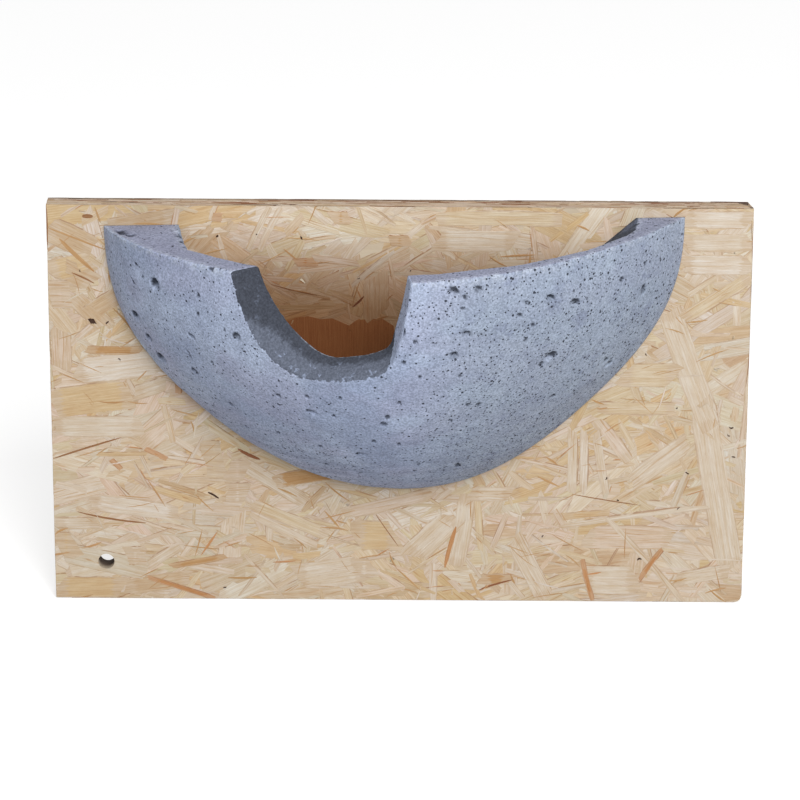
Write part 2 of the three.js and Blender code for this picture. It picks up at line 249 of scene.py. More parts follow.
def new_piece(name, points, polygons, uv_maps, attributes, material, smooth):
    """Mesh object from whole arrays: polygons all have the same number of corners, uv maps are given per
    corner, attributes per point as numbers or as colours."""
    corner_count = polygons.shape[1]
    mesh = bpy.data.meshes.new(name)
    mesh.vertices.add(len(points))
    mesh.vertices.foreach_set("co", points.astype(np.float32).ravel())
    mesh.loops.add(polygons.size)
    mesh.loops.foreach_set("vertex_index", polygons.astype(np.int32).ravel())
    mesh.polygons.add(len(polygons))
    starts = np.arange(0, polygons.size, corner_count, dtype=np.int32)
    mesh.polygons.foreach_set("loop_start", starts)
    mesh.polygons.foreach_set("use_smooth", np.full(len(polygons), smooth))
    for key, corners in uv_maps.items():
        layer = mesh.uv_layers.new(name=key)
        layer.data.foreach_set("uv", corners.astype(np.float32).ravel())
    for key, values in attributes.items():
        if values.ndim == 2:
            layer = mesh.attributes.new(key, "FLOAT_COLOR", "POINT")
            colours = np.concatenate([values, np.ones((len(values), 1))], axis=1)
            layer.data.foreach_set("color", colours.astype(np.float32).ravel())
        else:
            layer = mesh.attributes.new(key, "FLOAT", "POINT")
            layer.data.foreach_set("value", values.astype(np.float32))
    mesh.update(calc_edges=True)
    mesh.materials.append(material)
    piece = bpy.data.objects.new(name, mesh)
    bpy.context.scene.collection.objects.link(piece)
    return piece


class Graph:
    """Adds nodes to a tree; inputs are given as values or as sockets to link."""

    def __init__(self, tree):
        self.tree = tree

    def node(self, kind, inputs=None, **settings):
        node = self.tree.nodes.new(kind)
        for key, value in settings.items():
            setattr(node, key, value)
        for key, value in (inputs or {}).items():
            self.feed(node.inputs[key], value)
        return node

    def feed(self, socket, value):
        if isinstance(value, bpy.types.NodeSocket):
            self.tree.links.new(value, socket)
        else:
            socket.default_value = value

    def math(self, operation, *values):
        return self.node("ShaderNodeMath", dict(enumerate(values)), operation=operation).outputs[0]

    def times(self, first, second):
        return self.math("MULTIPLY", first, second)

    def plus(self, first, second):
        return self.math("ADD", first, second)

    def minus(self, first, second):
        return self.math("SUBTRACT", first, second)

    def mix(self, factor, first, second, blend="MIX"):
        inputs = {0: factor, 6: first, 7: second}
        return self.node("ShaderNodeMix", inputs, data_type="RGBA", blend_type=blend).outputs[2]

    def step(self, value, low, high):
        inputs = {"Value": value, "From Min": low, "From Max": high}
        return self.node("ShaderNodeMapRange", inputs, interpolation_type="SMOOTHSTEP").outputs[0]

    def scaled(self, vector, scale):
        inputs = {0: vector, 1: scale}
        return self.node("ShaderNodeVectorMath", inputs, operation="MULTIPLY").outputs[0]

    def noise(self, vector, scale, detail=2.0, roughness=0.5):
        inputs = {"Vector": vector, "Scale": scale, "Detail": detail, "Roughness": roughness}
        return self.node("ShaderNodeTexNoise", inputs).outputs["Fac"]

    def attribute(self, name, output="Fac"):
        return self.node("ShaderNodeAttribute", attribute_name=name).outputs[output]

    def colour(self, value):
        return (*(float(part) for part in value), 1.0)


def node_group(name, inputs, outputs):
    """New shader node group with number or vector inputs and number outputs, with its ends."""
    group = bpy.data.node_groups.new(name, "ShaderNodeTree")
    for label, kind in inputs:
        group.interface.new_socket(label, in_out="INPUT", socket_type=kind)
    for label in outputs:
        group.interface.new_socket(label, in_out="OUTPUT", socket_type="NodeSocketFloat")
    graph = Graph(group)
    start = graph.node("NodeGroupInput")
    end = graph.node("NodeGroupOutput")
    return group, graph, start.outputs, end.inputs


def make_wood_grain_group():
    """Wood grain from along and across coordinates in millimetres: fine fibres, broad streaks, late-wood
    lines that wander a little, long resin stains, and rare short dark dashes."""
    inputs = (("Vector", "NodeSocketVector"), ("Line spacing", "NodeSocketFloat"))
    outputs = ("Fibres", "Streaks", "Lines", "Stains", "Dashes")
    group, graph, start, end = node_group("wood_grain", inputs, outputs)
    vector = start["Vector"]
    fibres = graph.noise(graph.scaled(vector, (0.08, 1.9, 1)), 1.0, 4.0, 0.7)
    graph.feed(end["Fibres"], graph.step(fibres, 0.36, 0.64))
    streaks = graph.noise(graph.scaled(vector, (0.03, 0.55, 1)), 1.0, 3.0, 0.6)
    graph.feed(end["Streaks"], graph.step(streaks, 0.36, 0.64))
    stains = graph.noise(graph.scaled(vector, (0.07, 0.4, 1)), 1.0, 4.0, 0.65)
    graph.feed(end["Stains"], graph.step(stains, 0.58, 0.7))
    wander = graph.noise(graph.scaled(vector, (0.018, 0.12, 1)), 1.0, 2.0, 0.5)
    parts = graph.node("ShaderNodeSeparateXYZ", {0: vector}).outputs
    phase = graph.math("DIVIDE", parts[1], start["Line spacing"])
    phase = graph.plus(phase, graph.times(wander, 5.0))
    wave = graph.math("SINE", graph.times(phase, 2 * math.pi))
    lines = graph.step(wave, 0.45, 1.0)
    broken = graph.step(graph.noise(graph.scaled(vector, (0.05, 0.35, 1)), 1.0, 2.0, 0.5), 0.42, 0.62)
    graph.feed(end["Lines"], graph.times(lines, broken))
    dashes = graph.noise(graph.scaled(vector, (0.22, 1.7, 1)), 1.0, 1.0, 0.5)
    graph.feed(end["Dashes"], graph.step(dashes, 0.68, 0.78))
    return group


def make_mottle_group():
    """Soft uneven tone from a place in metres: large clouds, small clouds and fine speckle."""
    inputs = (("Vector", "NodeSocketVector"),)
    group, graph, start, end = node_group("mottle", inputs, ("Clouds", "Blotches", "Speckle"))
    vector = start["Vector"]
    graph.feed(end["Clouds"], graph.step(graph.noise(vector, 22.0, 3.0, 0.55), 0.3, 0.7))
    graph.feed(end["Blotches"], graph.step(graph.noise(vector, 120.0, 3.0, 0.6), 0.3, 0.7))
    graph.feed(end["Speckle"], graph.step(graph.noise(vector, 1100.0, 2.0, 0.6), 0.34, 0.66))
    return group


def shared_group(name, maker):
    """The node group of a name, made when it is first asked for."""
    return bpy.data.node_groups.get(name) or maker()


def new_material(name):
    """Node material with a graph, its shader node and its object coordinates."""
    material = bpy.data.materials.new(name)
    material.use_nodes = True
    graph = Graph(material.node_tree)
    shader = material.node_tree.nodes["Principled BSDF"]
    place = graph.node("ShaderNodeTexCoord").outputs["Object"]
    return material, graph, shader, place


def group_outputs(graph, name, maker, inputs):
    """Outputs of a shared node group with its inputs fed."""
    node = graph.node("ShaderNodeGroup", node_tree=shared_group(name, maker))
    for key, value in inputs.items():
        graph.feed(node.inputs[key], value)
    return node.outputs


def torn_border(graph, grain_map, border_map):
    """1 along a flake's border and 0 inside it, with ragged sides and splintered ends."""
    sides = graph.node("ShaderNodeSeparateXYZ", {0: border_map}).outputs
    side_tear = graph.noise(graph.scaled(grain_map, (0.3, 0.5, 1)), 1.6, 3.0, 0.6)
    end_tear = graph.noise(graph.scaled(grain_map, (0.05, 1.4, 1)), 1.0, 3.0, 0.6)
    from_side = graph.minus(sides[1], graph.times(side_tear, 1.2))
    from_end = graph.minus(sides[0], graph.times(end_tear, 10.0))
    nearest = graph.math("MINIMUM", from_side, graph.times(from_end, 0.4))
    return graph.step(nearest, 0.12, -0.12)


def side_lines_and_shadow(graph, grain_map, border_map):
    """Thin broken lines along both long sides of a flake, one stronger than the other, and 0 elsewhere:
    partly the flake's own darker border, partly a painted shadow of its edge.
    """
    to_side = graph.node("ShaderNodeSeparateXYZ", {0: border_map}).outputs[1]
    near = graph.step(to_side, 0.6, 0.3)
    broken = graph.step(graph.noise(graph.scaled(grain_map, (0.14, 0.3, 1)), 1.0, 2.0, 0.6), 0.4, 0.52)
    stronger = graph.step(graph.attribute("side"), -0.4, 0.4)
    uneven = graph.plus(0.35, graph.times(stronger, 0.65))
    return graph.times(graph.times(near, broken), uneven)


def make_strand_material(settings):
    """Pressed wood flakes: each flake's shade, torn into the board's tone along its border, with resin
    stains, late-wood lines, streaks, fibres and dashes, and thin broken lines along its sides that are partly
    painted shadow."""
    material, graph, shader, place = new_material("strand_board")
    grain_map = graph.node("ShaderNodeUVMap", uv_map="Grain").outputs[0]
    border_map = graph.node("ShaderNodeUVMap", uv_map="Border").outputs[0]
    inputs = {"Vector": grain_map, "Line spacing": graph.attribute("spacing")}
    grain = group_outputs(graph, "wood_grain", make_wood_grain_group, inputs)
    tone = group_outputs(graph, "mottle", make_mottle_group, {"Vector": place})
    torn = graph.times(torn_border(graph, grain_map, border_map), graph.attribute("fade"))
    colour = graph.mix(torn, graph.attribute("shade", "Color"), graph.attribute("ground", "Color"))
    tints = (
        (grain["Stains"], graph.attribute("stain"), settings.stain_tone),
        (grain["Lines"], graph.attribute("stripe"), settings.line_tone),
        (grain["Streaks"], settings.streak_strength, settings.streak_tone),
        (grain["Fibres"], settings.fibre_strength, settings.fibre_tone),
        (grain["Dashes"], settings.dash_strength, settings.dash_tone),
        (tone["Blotches"], settings.blotch_strength, settings.line_tone),
        # Side lines: partly the flakes' own borders, partly painted shadow of their edges
        (side_lines_and_shadow(graph, grain_map, border_map), graph.attribute("outline"), settings.dash_tone),
    )
    for mask, strength, tint in tints:
        part = graph.times(mask, strength)
        colour = graph.mix(part, colour, graph.colour(tint), "MULTIPLY")
    graph.feed(shader.inputs["Base Color"], colour)
    rough = graph.plus(0.68, graph.times(grain["Fibres"], 0.15))
    graph.feed(shader.inputs["Roughness"], rough)
    shader.inputs["Specular IOR Level"].default_value = 0.3
    height = graph.minus(1.0, graph.math("MAXIMUM", grain["Fibres"], grain["Dashes"]))
    bump = graph.node("ShaderNodeBump", {"Height": height, "Strength": 0.4, "Distance": 0.12 * MM})
    graph.feed(shader.inputs["Normal"], bump.outputs[0])
    return material


def make_core_material(settings):
    """Inside of the board, seen in its holes and between flakes: brown strands cut across, with painted shade
    on the wall hole's side, darkest deep in it."""
    material, graph, shader, place = new_material("strand_core")
    layered = graph.scaled(place, (60, 900, 60))
    inputs = {"Vector": layered, "Line spacing": 1.1}
    grain = group_outputs(graph, "wood_grain", make_wood_grain_group, inputs)
    shades = shade_table(settings)
    colour = graph.mix(grain["Fibres"], graph.colour(shades["tan"]), graph.colour(shades["straw"]))
    colour = graph.mix(graph.times(grain["Dashes"], 0.7), colour, graph.colour(shades["brown"]))
    # Painted shade on the wall hole's side, darker towards the back of the board
    level_place = graph.scaled(place, (1, 0, 1))
    axis = (WALL_HOLE[0], 0, WALL_HOLE[1])
    ends = {0: level_place, 1: axis}
    away = graph.node("ShaderNodeVectorMath", ends, operation="DISTANCE").outputs["Value"]
    hole_painted_shade = graph.step(away, WALL_HOLE_RADIUS + 0.4 * MM, WALL_HOLE_RADIUS + 0.1 * MM)
    depth = graph.node("ShaderNodeSeparateXYZ", {0: place}).outputs[1]
    deeper_painted_shade = graph.times(graph.step(depth, -9 * MM, -5 * MM), 0.65)
    hole_painted_shade = graph.times(hole_painted_shade, graph.plus(deeper_painted_shade, 0.25))
    colour = graph.mix(hole_painted_shade, colour, graph.colour(shades["void"]))
    graph.feed(shader.inputs["Base Color"], colour)
    shader.inputs["Roughness"].default_value = 0.85
    bump = graph.node("ShaderNodeBump", {"Height": grain["Fibres"], "Strength": 0.5, "Distance": 0.3 * MM})
    graph.feed(shader.inputs["Normal"], bump.outputs[0])
    return material


def open_pores(graph, place, amount):
    """1 in small open pores and 0 outside them: spheres round some of the points of three point lattices,
    more of them where the amount is high."""
    pores = 0.0
    for scale, reach, share in ((330.0, 0.22, 0.87), (520.0, 0.25, 0.82), (880.0, 0.30, 0.91)):
        cells = graph.node("ShaderNodeTexVoronoi", {"Vector": place, "Scale": scale})
        limit = graph.minus(share, graph.times(amount, 0.3))
        picked = graph.math("GREATER_THAN", cells.outputs["Color"], limit)
        close = graph.step(cells.outputs["Distance"], reach, reach * 0.7)
        pores = graph.math("MAXIMUM", pores, graph.times(close, picked))
    return pores


def notch_colour(graph, settings, place, height, ragged):
    """Sawn face of the notch: a smooth dark band inside and all over near the rim, a rough lighter band
    outside, pale crumbs, and a painted highlight as a pale lip low on the inner edge."""
    share = graph.attribute("cut_share")
    upper = graph.step(height, 52 * MM, 72 * MM)
    band = graph.plus(graph.plus(share, upper), graph.times(ragged, 0.12))
    smooth_band = graph.step(band, 0.42, 0.7)
    colour = graph.mix(smooth_band, graph.colour(settings.cut_light), graph.colour(settings.cut_dark))
    crumbs = graph.step(graph.noise(place, 300.0, 3.0, 0.65), 0.6, 0.7)
    crumb_share = graph.minus(0.55, graph.times(smooth_band, 0.42))
    colour = graph.mix(graph.times(crumbs, crumb_share), colour, graph.colour(settings.mid))
    # Painted highlight along the lip of the notch's inner edge
    lip_highlight = graph.times(graph.step(share, 0.88, 0.96), graph.step(height, 60 * MM, 48 * MM))
    lip_highlight = graph.times(lip_highlight, graph.step(ragged, -0.6, 0.4))
    return graph.mix(lip_highlight, colour, graph.colour(settings.edge_tone))


def make_concrete_material(settings):
    """Cast concrete: blue and lilac clouds, greyer and stained to the right, sand speckle, small open pores
    with painted shade, drag marks low on the cup, pale sandy edges that are partly painted highlight, painted
    shade over the hollow, streaked darker at its right end, painted shade in pits, and a darker sawn notch
    with a ragged border."""
    material, graph, shader, place = new_material("cast_concrete")
    tone = group_outputs(graph, "mottle", make_mottle_group, {"Vector": place})
    parts = graph.node("ShaderNodeSeparateXYZ", {0: place}).outputs
    cut_place = graph.attribute("cut")
    lilac = graph.step(graph.noise(graph.scaled(place, (1, 1, 1.6)), 30.0, 2.0, 0.5), 0.42, 0.62)
    rim = graph.step(graph.attribute("rim"), 0.2, 0.8)
    drag = graph.noise(graph.scaled(place, (60, 60, 420)), 1.0, 3.0, 0.6)
    low = graph.step(parts[2], 30 * MM, -25 * MM)
    drag_part = graph.times(graph.step(drag, 0.42, 0.68), low)
    edge = graph.step(graph.attribute("edge_distance"), 4.5, 0.4)
    away = graph.minus(1.0, graph.times(graph.step(cut_place, -7.0, -2.0), 0.95))
    # Pale sandy edges: partly crumbled wear, partly painted highlight along the rounded rim edges
    sandy_and_highlight = graph.step(graph.noise(place, 420.0, 3.0, 0.65), 0.42, 0.6)
    sandy_and_highlight = graph.times(graph.times(edge, sandy_and_highlight), away)
    streaks = graph.step(graph.noise(graph.scaled(place, (160, 160, 60)), 1.0, 3.0, 0.6), 0.45, 0.62)
    weathered = graph.step(graph.noise(place, 95.0, 5.0, 0.72), 0.53, 0.68)
    end_shade = graph.attribute("end_shade")
    to_right = graph.step(parts[0], -5 * MM, 40 * MM)
    colour = graph.mix(tone["Clouds"], graph.colour(settings.mid), graph.colour(settings.light))
    layers = (
        (lilac, 0.4, settings.lilac),
        (to_right, 0.65, settings.grey),
        (tone["Blotches"], 0.3, settings.dark),
        (graph.times(weathered, to_right), 0.55, settings.dark),
        (rim, 0.8, settings.rim_tone),
        (drag_part, 0.5, settings.dark),
        (sandy_and_highlight, 0.55, settings.edge_tone),
        # Painted shade over the whole hollow
        (graph.attribute("hollow"), 0.4, settings.cut_light),
        # Painted shade darkens the hollow's right end, with streaks
        (end_shade, 0.95, settings.cut_dark),
        (graph.times(end_shade, streaks), 0.4, settings.dark),
    )
    for mask, strength, tint in layers:
        colour = graph.mix(graph.times(mask, strength), colour, graph.colour(tint))
    ragged = graph.times(graph.minus(graph.noise(place, 480.0, 3.0, 0.6), 0.5), 5.0)
    right_side = graph.times(graph.step(parts[0], -5.5 * MM, 4.5 * MM), 24.0)
    cut = graph.minus(graph.plus(cut_place, ragged), right_side)
    cut = graph.step(cut, -1.3, -0.5)
    colour = graph.mix(cut, colour, notch_colour(graph, settings, place, parts[2], ragged))
    speckle = graph.minus(tone["Speckle"], 0.5)
    bright = graph.plus(1.0, graph.times(speckle, settings.speckle_strength))
    colour = graph.node("ShaderNodeVectorMath", {0: colour, "Scale": bright}, operation="SCALE").outputs[0]
    rough_part = graph.minus(1.0, graph.times(cut, 0.75))
    amount = graph.plus(graph.times(tone["Clouds"], 0.5), graph.times(to_right, 0.55))
    amount = graph.plus(amount, graph.times(low, 0.45))
    pore = graph.times(open_pores(graph, place, amount), rough_part)
    # Painted shade in the open pores
    pore_shade_part = graph.times(pore, settings.pore_strength)
    colour = graph.mix(pore_shade_part, colour, graph.colour(settings.pore_tone))
    # Painted shade and painted shadow in pits and chips
    pit_shade_part = graph.times(graph.attribute("pit"), 0.9)
    colour = graph.mix(pit_shade_part, colour, graph.colour(settings.pore_tone))
    graph.feed(shader.inputs["Base Color"], colour)
    shader.inputs["Roughness"].default_value = 0.9
    shader.inputs["Specular IOR Level"].default_value = 0.25
    relief = graph.times(graph.plus(tone["Speckle"], tone["Blotches"]), rough_part)
    height = graph.minus(graph.times(relief, 0.25), pore)
    bump = graph.node("ShaderNodeBump", {"Height": height, "Strength": 0.7, "Distance": 0.35 * MM})
    graph.feed(shader.inputs["Normal"], bump.outputs[0])
    return material


def make_zinc_material(settings):
    """Zinc plated steel with faint cloudy dulling."""
    material, graph, shader, place = new_material("zinc_steel")
    tone = group_outputs(graph, "mottle", make_mottle_group, {"Vector": graph.scaled(place, (4, 4, 4))})
    colour = graph.mix(tone["Clouds"], graph.colour(settings.zinc), graph.colour(settings.dull_zinc))
    graph.feed(shader.inputs["Base Color"], colour)
    shader.inputs["Metallic"].default_value = 1.0
    graph.feed(shader.inputs["Roughness"], graph.plus(0.32, graph.times(tone["Blotches"], 0.12)))
    return material


def mould_radius(bowl, angle):
    """Part by which a bowl's outline stands out or in at an angle: a sum of waves round the middle."""
    radius = np.ones_like(angle)
    for turns, cosine, sine in bowl["waves"]:
        radius = radius + cosine * (1 - np.cos(turns * angle)) + sine * np.sin(turns * angle)
    return radius


def bowl_depth(bowl, x, z):
    """Depth of a bowl form in front of the cup's back: a power of the distance inside its superellipse
    outline, with an exponent that changes a little from one side to the other."""
    offset = x - bowl["middle"]
    across = (np.abs(offset) / bowl["half_width"]) ** bowl["side"]
    down = (np.abs(z) / bowl["height"]) ** bowl["side"]
    angle = np.arctan2(np.sqrt(down), np.sign(offset) * np.sqrt(across))
    radius = (across + down) ** (1 / bowl["side"]) / mould_radius(bowl, angle)
    rounding = bowl["round"] + bowl["skew"] * np.cos(angle)
    return bowl["depth"] * np.maximum(1 - radius**2, 0) ** rounding


def end_walls(z):
    """Where the hollow's end walls meet the board at given heights: x on the left and on the right."""
    left, _, _ = HOLLOW_LEFT_END
    right = np.max([x + rise * z for x, rise, _ in HOLLOW_RIGHT_ENDS], axis=0)
    return left, right


def inside_depth(x, z):
    """Depth of the hollow in front of the cup's back: the bowl form, cut off by the two end walls."""
    left, right = end_walls(z)
    left_limit = (x - left) / HOLLOW_LEFT_END[2]
    right_limit = (right - x) / HOLLOW_RIGHT_ENDS[0][2]
    limit = np.maximum(np.minimum(left_limit, right_limit), 0)
    return np.minimum(bowl_depth(CUP_INSIDE, x, z), limit)


def outside_depth(x, z):
    """Depth of the cup's outer face in front of its back."""
    return bowl_depth(CUP_OUTSIDE, x, z)


def bowl_outline(bowl, parts):
    """Points of a bowl's outline on the board, at parts of its length from the left end to the right."""
    angle = np.linspace(np.pi, 0, 4000)
    power = 2 / bowl["side"]
    cosine = np.cos(angle)
    sine = np.abs(np.sin(angle))
    reach = mould_radius(bowl, angle)
    x = bowl["middle"] + reach * bowl["half_width"] * np.sign(cosine) * np.abs(cosine) ** power
    z = -reach * bowl["height"] * sine**power
    if bowl is CUP_INSIDE:
        x = np.clip(x, *end_walls(z))
    length = np.concatenate([[0], np.cumsum(np.hypot(np.diff(x), np.diff(z)))])
    length /= length[-1]
    return np.stack([np.interp(parts, length, x), np.interp(parts, length, z)], axis=1)


def spline(points, parts):
    """Catmull-Rom curve through points, at parts from 0 to 1 spread evenly over its spans."""
    points = np.array(points, float) * MM
    place = np.clip(parts, 0, 1) * (len(points) - 1)
    first = np.minimum(place.astype(int), len(points) - 2)
    part = (place - first)[:, None]
    p0 = points[np.maximum(first - 1, 0)]
    p1 = points[first]
    p2 = points[first + 1]
    p3 = points[np.minimum(first + 2, len(points) - 1)]
    v0 = (p2 - p0) / 2
    v1 = (p3 - p1) / 2
    cubic = (2 * p1 - 2 * p2 + v0 + v1) * part**3
    square = (-3 * p1 + 3 * p2 - 2 * v0 - v1) * part**2
    return cubic + square + v0 * part + p1


def notch_points(face_depth, parts):
    """Where the notch's straight lines, at parts from its left end to its right, pass through a face of the
    cup: x, depth and z, by halving the range of depths."""
    span = NOTCH_PLANE_DEPTH - NOTCH_SIGHT_DEPTH
    sight = np.array(NOTCH_SIGHT)
    near = sight + (spline(NOTCH_INNER_EDGE, parts) - sight) * (NOTCH_INNER_DEPTH - NOTCH_SIGHT_DEPTH) / span
    far = sight + (spline(NOTCH_OUTER_EDGE, parts) - sight) * (NOTCH_OUTER_DEPTH - NOTCH_SIGHT_DEPTH) / span
    low = np.full(len(parts), NOTCH_DEPTH_RANGE[0])
    high = np.full(len(parts), NOTCH_DEPTH_RANGE[1])
    for _ in range(40):
        depth = (low + high) / 2
        share = (depth - NOTCH_INNER_DEPTH) / (NOTCH_OUTER_DEPTH - NOTCH_INNER_DEPTH)
        place = near + (far - near) * share[:, None]
        inside = face_depth(place[:, 0], place[:, 1]) > depth
        low = np.where(inside, depth, low)
        high = np.where(inside, high, depth)
    return np.stack([place[:, 0], depth, place[:, 1]], axis=1)


def run_length(points):
    """Length along a row of points, from its first one."""
    return np.concatenate([[0], np.cumsum(np.linalg.norm(np.diff(points, axis=0), axis=1))])


def notch_edge(face_depth, steps):
    """The notch's edge on a face of the cup between the two points where it leaves the rim plane."""
    parts = np.linspace(0, 1, 1500)
    below = np.nonzero(notch_points(face_depth, parts)[:, 2] < 0)[0]
    start = parts[below[0]]
    stop = parts[below[-1]]
    edge = notch_points(face_depth, start + (stop - start) * steps)
    edge[[0, -1], 2] = 0
    return edge


def rim_arm(face_depth, first, last, count):
    """Evenly spaced points of a face's edge on the rim plane, between two values of x."""
    x = np.linspace(first, last, 3000)
    arm = np.stack([x, face_depth(x, np.zeros_like(x)), np.zeros_like(x)], axis=1)
    length = run_length(arm)
    x = np.interp(np.linspace(0, length[-1], count), length, x)
    return np.stack([x, face_depth(x, np.zeros_like(x)), np.zeros_like(x)], axis=1)


def rim_edge(face_depth, ends, counts):
    """The whole rim edge of a face, from its left end through the notch to its right end."""
    left, middle, right = counts
    even = np.linspace(0, 1, 1000)
    length = run_length(notch_edge(outside_depth, even))
    notch = notch_edge(face_depth, np.interp(np.linspace(0, length[-1], middle), length, even))
    left_arm = rim_arm(face_depth, ends[0], notch[0, 0], left + 1)[:-1]
    right_arm = rim_arm(face_depth, notch[-1, 0], ends[1], right + 1)[1:]
    return np.concatenate([left_arm, notch, right_arm])


def face_rows(face_depth, edge, outline, steps):
    """Rows of a face of the cup: straight runs, seen from the front, from the rim edge to the outline."""
    flat = edge[:, None, [0, 2]] * (1 - steps)[None, :, None] + outline[:, None, :] * steps[None, :, None]
    depth = face_depth(flat[..., 0], flat[..., 1])
    return np.stack([flat[..., 0], depth, flat[..., 1]], axis=2)


def between(first, second, count):
    """Rows of points on straight lines between two matched rows, without the rows themselves."""
    steps = np.linspace(0, 1, count + 2)[1:-1]
    return first[:, None] + (second - first)[:, None] * steps[None, :, None]


def round_edges(grid, rows, columns, amount, passes):
    """Moves points near given rows, and near given columns, towards the middle of their neighbours."""
    row_far = np.min(np.abs((np.arange(grid.shape[1])[:, None] - rows + 20) % grid.shape[1] - 20), axis=1)
    row_weight = amount * np.clip(1 - row_far / 3, 0, 1)[None, :, None]
    column_far = np.min(np.abs(np.arange(grid.shape[0])[:, None] - columns), axis=1)
    column_weight = amount * np.clip(1 - column_far / 5, 0, 1)[1:-1, None, None]
    for _ in range(passes):
        middle = (np.roll(grid, 1, axis=1) + np.roll(grid, -1, axis=1)) / 2
        grid = grid + row_weight * (middle - grid)
        middle = (grid[:-2] + grid[2:]) / 2
        grid[1:-1] += column_weight * (middle - grid[1:-1])
    return grid


def grid_normals(points, triangles):
    """Unit normals of points, from the triangles round each of them."""
    a, b, c = (points[triangles[:, k]] for k in range(3))
    facing = np.cross(b - a, c - a)
    normals = np.zeros_like(points)
    for k in range(3):
        np.add.at(normals, triangles[:, k], facing)
    return normals / np.maximum(np.linalg.norm(normals, axis=1, keepdims=True), 1e-20)


def pit_frames(places):
    """Points of the outer face at given x and z, with the directions across, along and out of it."""
    x, z = places.T
    step = 0.5 * MM
    point = np.stack([x, outside_depth(x, z), z], axis=1)
    slope_x = (outside_depth(x + step, z) - outside_depth(x - step, z)) / (2 * step)
    slope_z = (outside_depth(x, z + step) - outside_depth(x, z - step)) / (2 * step)
    out = np.stack([-slope_x, np.ones_like(x), -slope_z], axis=1)
    out /= np.linalg.norm(out, axis=1, keepdims=True)
    across = np.cross(out, (0, 0, 1))
    across /= np.linalg.norm(across, axis=1, keepdims=True)
    return point, across, np.cross(across, out), out


def scattered_pits(settings):
    """Seeded small pits all over the outer face, as rows like PITS in metres."""
    random = np.random.default_rng(settings.pit_seed)
    count = settings.pit_count
    spread = np.sqrt(random.uniform(0.02, 0.9, count))
    turn = random.uniform(0, np.pi, count)
    power = 2 / CUP_OUTSIDE["side"]
    x = spread * CUP_OUTSIDE["half_width"] * np.sign(np.cos(turn)) * np.abs(np.cos(turn)) ** power
    z = -spread * CUP_OUTSIDE["height"] * np.sin(turn) ** power
    width = random.uniform(1.3, 2.4, count) * MM
    height = width * random.uniform(0.7, 1.4, count)
    return np.stack([x, z, width, height, width * 0.5, random.uniform(-40, 40, count)], axis=1)


def pit_relief(points, facing_out, settings):
    """How deep the pits reach at points of the cup, as ellipsoids sunk in the outer face, and how much
    painted
    shade they get there, from 0 to 1: small pits all over, large ones as a painted shadow only under their
    upper outer edge."""
    named = np.array(PITS, float) * np.array([MM, MM, MM, MM, MM, 1])
    rows = np.concatenate([named, scattered_pits(settings)])
    centres, across, along, _ = pit_frames(rows[:, :2])
    deep = np.zeros(len(points))
    share = np.zeros(len(points))
    for k, (_, _, width, height, depth, turn) in enumerate(rows):
        near = np.nonzero(np.sum((points - centres[k]) ** 2, axis=1) < (max(width, height) * 0.8) ** 2)[0]
        near = near[facing_out[near]]
        offset = points[near] - centres[k]
        a = offset @ across[k]
        b = offset @ along[k]
        cosine = math.cos(math.radians(turn))
        sine = math.sin(math.radians(turn))
        reach = ((a * cosine + b * sine) / (width / 2)) ** 2 + ((b * cosine - a * sine) / (height / 2)) ** 2
        part = np.sqrt(np.clip(1 - reach, 0, 1))
        # Painted shade all over small pits; on large ones a painted shadow under their upper outer edge
        toward_edge = (b + 0.5 * np.sign(rows[k, 0]) * a) / (height / 2)
        small = np.clip((LARGE_PIT - width) / LARGE_PIT + 0.35, 0, 1)
        dark = smooth_step(part, 0, 0.35) * np.maximum(small, smooth_step(toward_edge, -0.5, 0.3))
        deep[near] = np.maximum(deep[near], depth * part)
        share[near] = np.maximum(share[near], dark)
    return deep, share


def cup_to_frame(points):
    """Cup coordinates (x, depth, z) turned by the tilt and set on the board."""
    cosine = math.cos(CUP_TILT)
    sine = math.sin(CUP_TILT)
    x = CUP_PLACE[0] + points[:, 0] * cosine - points[:, 2] * sine
    z = CUP_PLACE[2] + points[:, 0] * sine + points[:, 2] * cosine
    return np.stack([x, CUP_PLACE[1] - points[:, 1], z], axis=1)


def cup_grid():
    """Columns along the rim by rows round the wall section, with the rows and columns where its edges lie:
    down the outer face to the board, across the wall's foot, up the hollow and over the top."""
    outer_ends = CUP_OUTSIDE["half_width"] * np.array([-1, 1])
    outer_edge = rim_edge(outside_depth, outer_ends, CUP_COLUMNS)
    inner_edge = rim_edge(inside_depth, end_walls(0), CUP_COLUMNS)
    parts = run_length(outer_edge)
    parts /= parts[-1]
    outer_steps = 1 - (1 - np.linspace(0, 1, OUTER_ROWS)) ** 1.25
    inner_steps = 1 - (1 - np.linspace(0, 1, INNER_ROWS)) ** 1.4
    outer = face_rows(outside_depth, outer_edge, bowl_outline(CUP_OUTSIDE, parts), outer_steps)
    inner = face_rows(inside_depth, inner_edge, bowl_outline(CUP_INSIDE, parts), inner_steps)[:, ::-1]
    foot = between(outer[:, -1], inner[:, 0], EDGE_ROWS)
    top = between(inner[:, -1], outer[:, 0], EDGE_ROWS)
    foot_rows = slice(outer.shape[1] - 1, outer.shape[1] + foot.shape[1] + 1)
    inner_row = outer.shape[1] + foot.shape[1] + inner.shape[1] - 1
    corners = np.array([CUP_COLUMNS[0], CUP_COLUMNS[0] + CUP_COLUMNS[1] - 1])
    sharp = np.concatenate([outer, foot, inner, top], axis=1)
    grid = round_edges(sharp, np.array([0, inner_row]), corners, 0.5, 3)
    grid[[0, -1]] = sharp[[0, -1]]
    grid[:, foot_rows, 1] = 0
    return grid, foot_rows, inner_row, corners


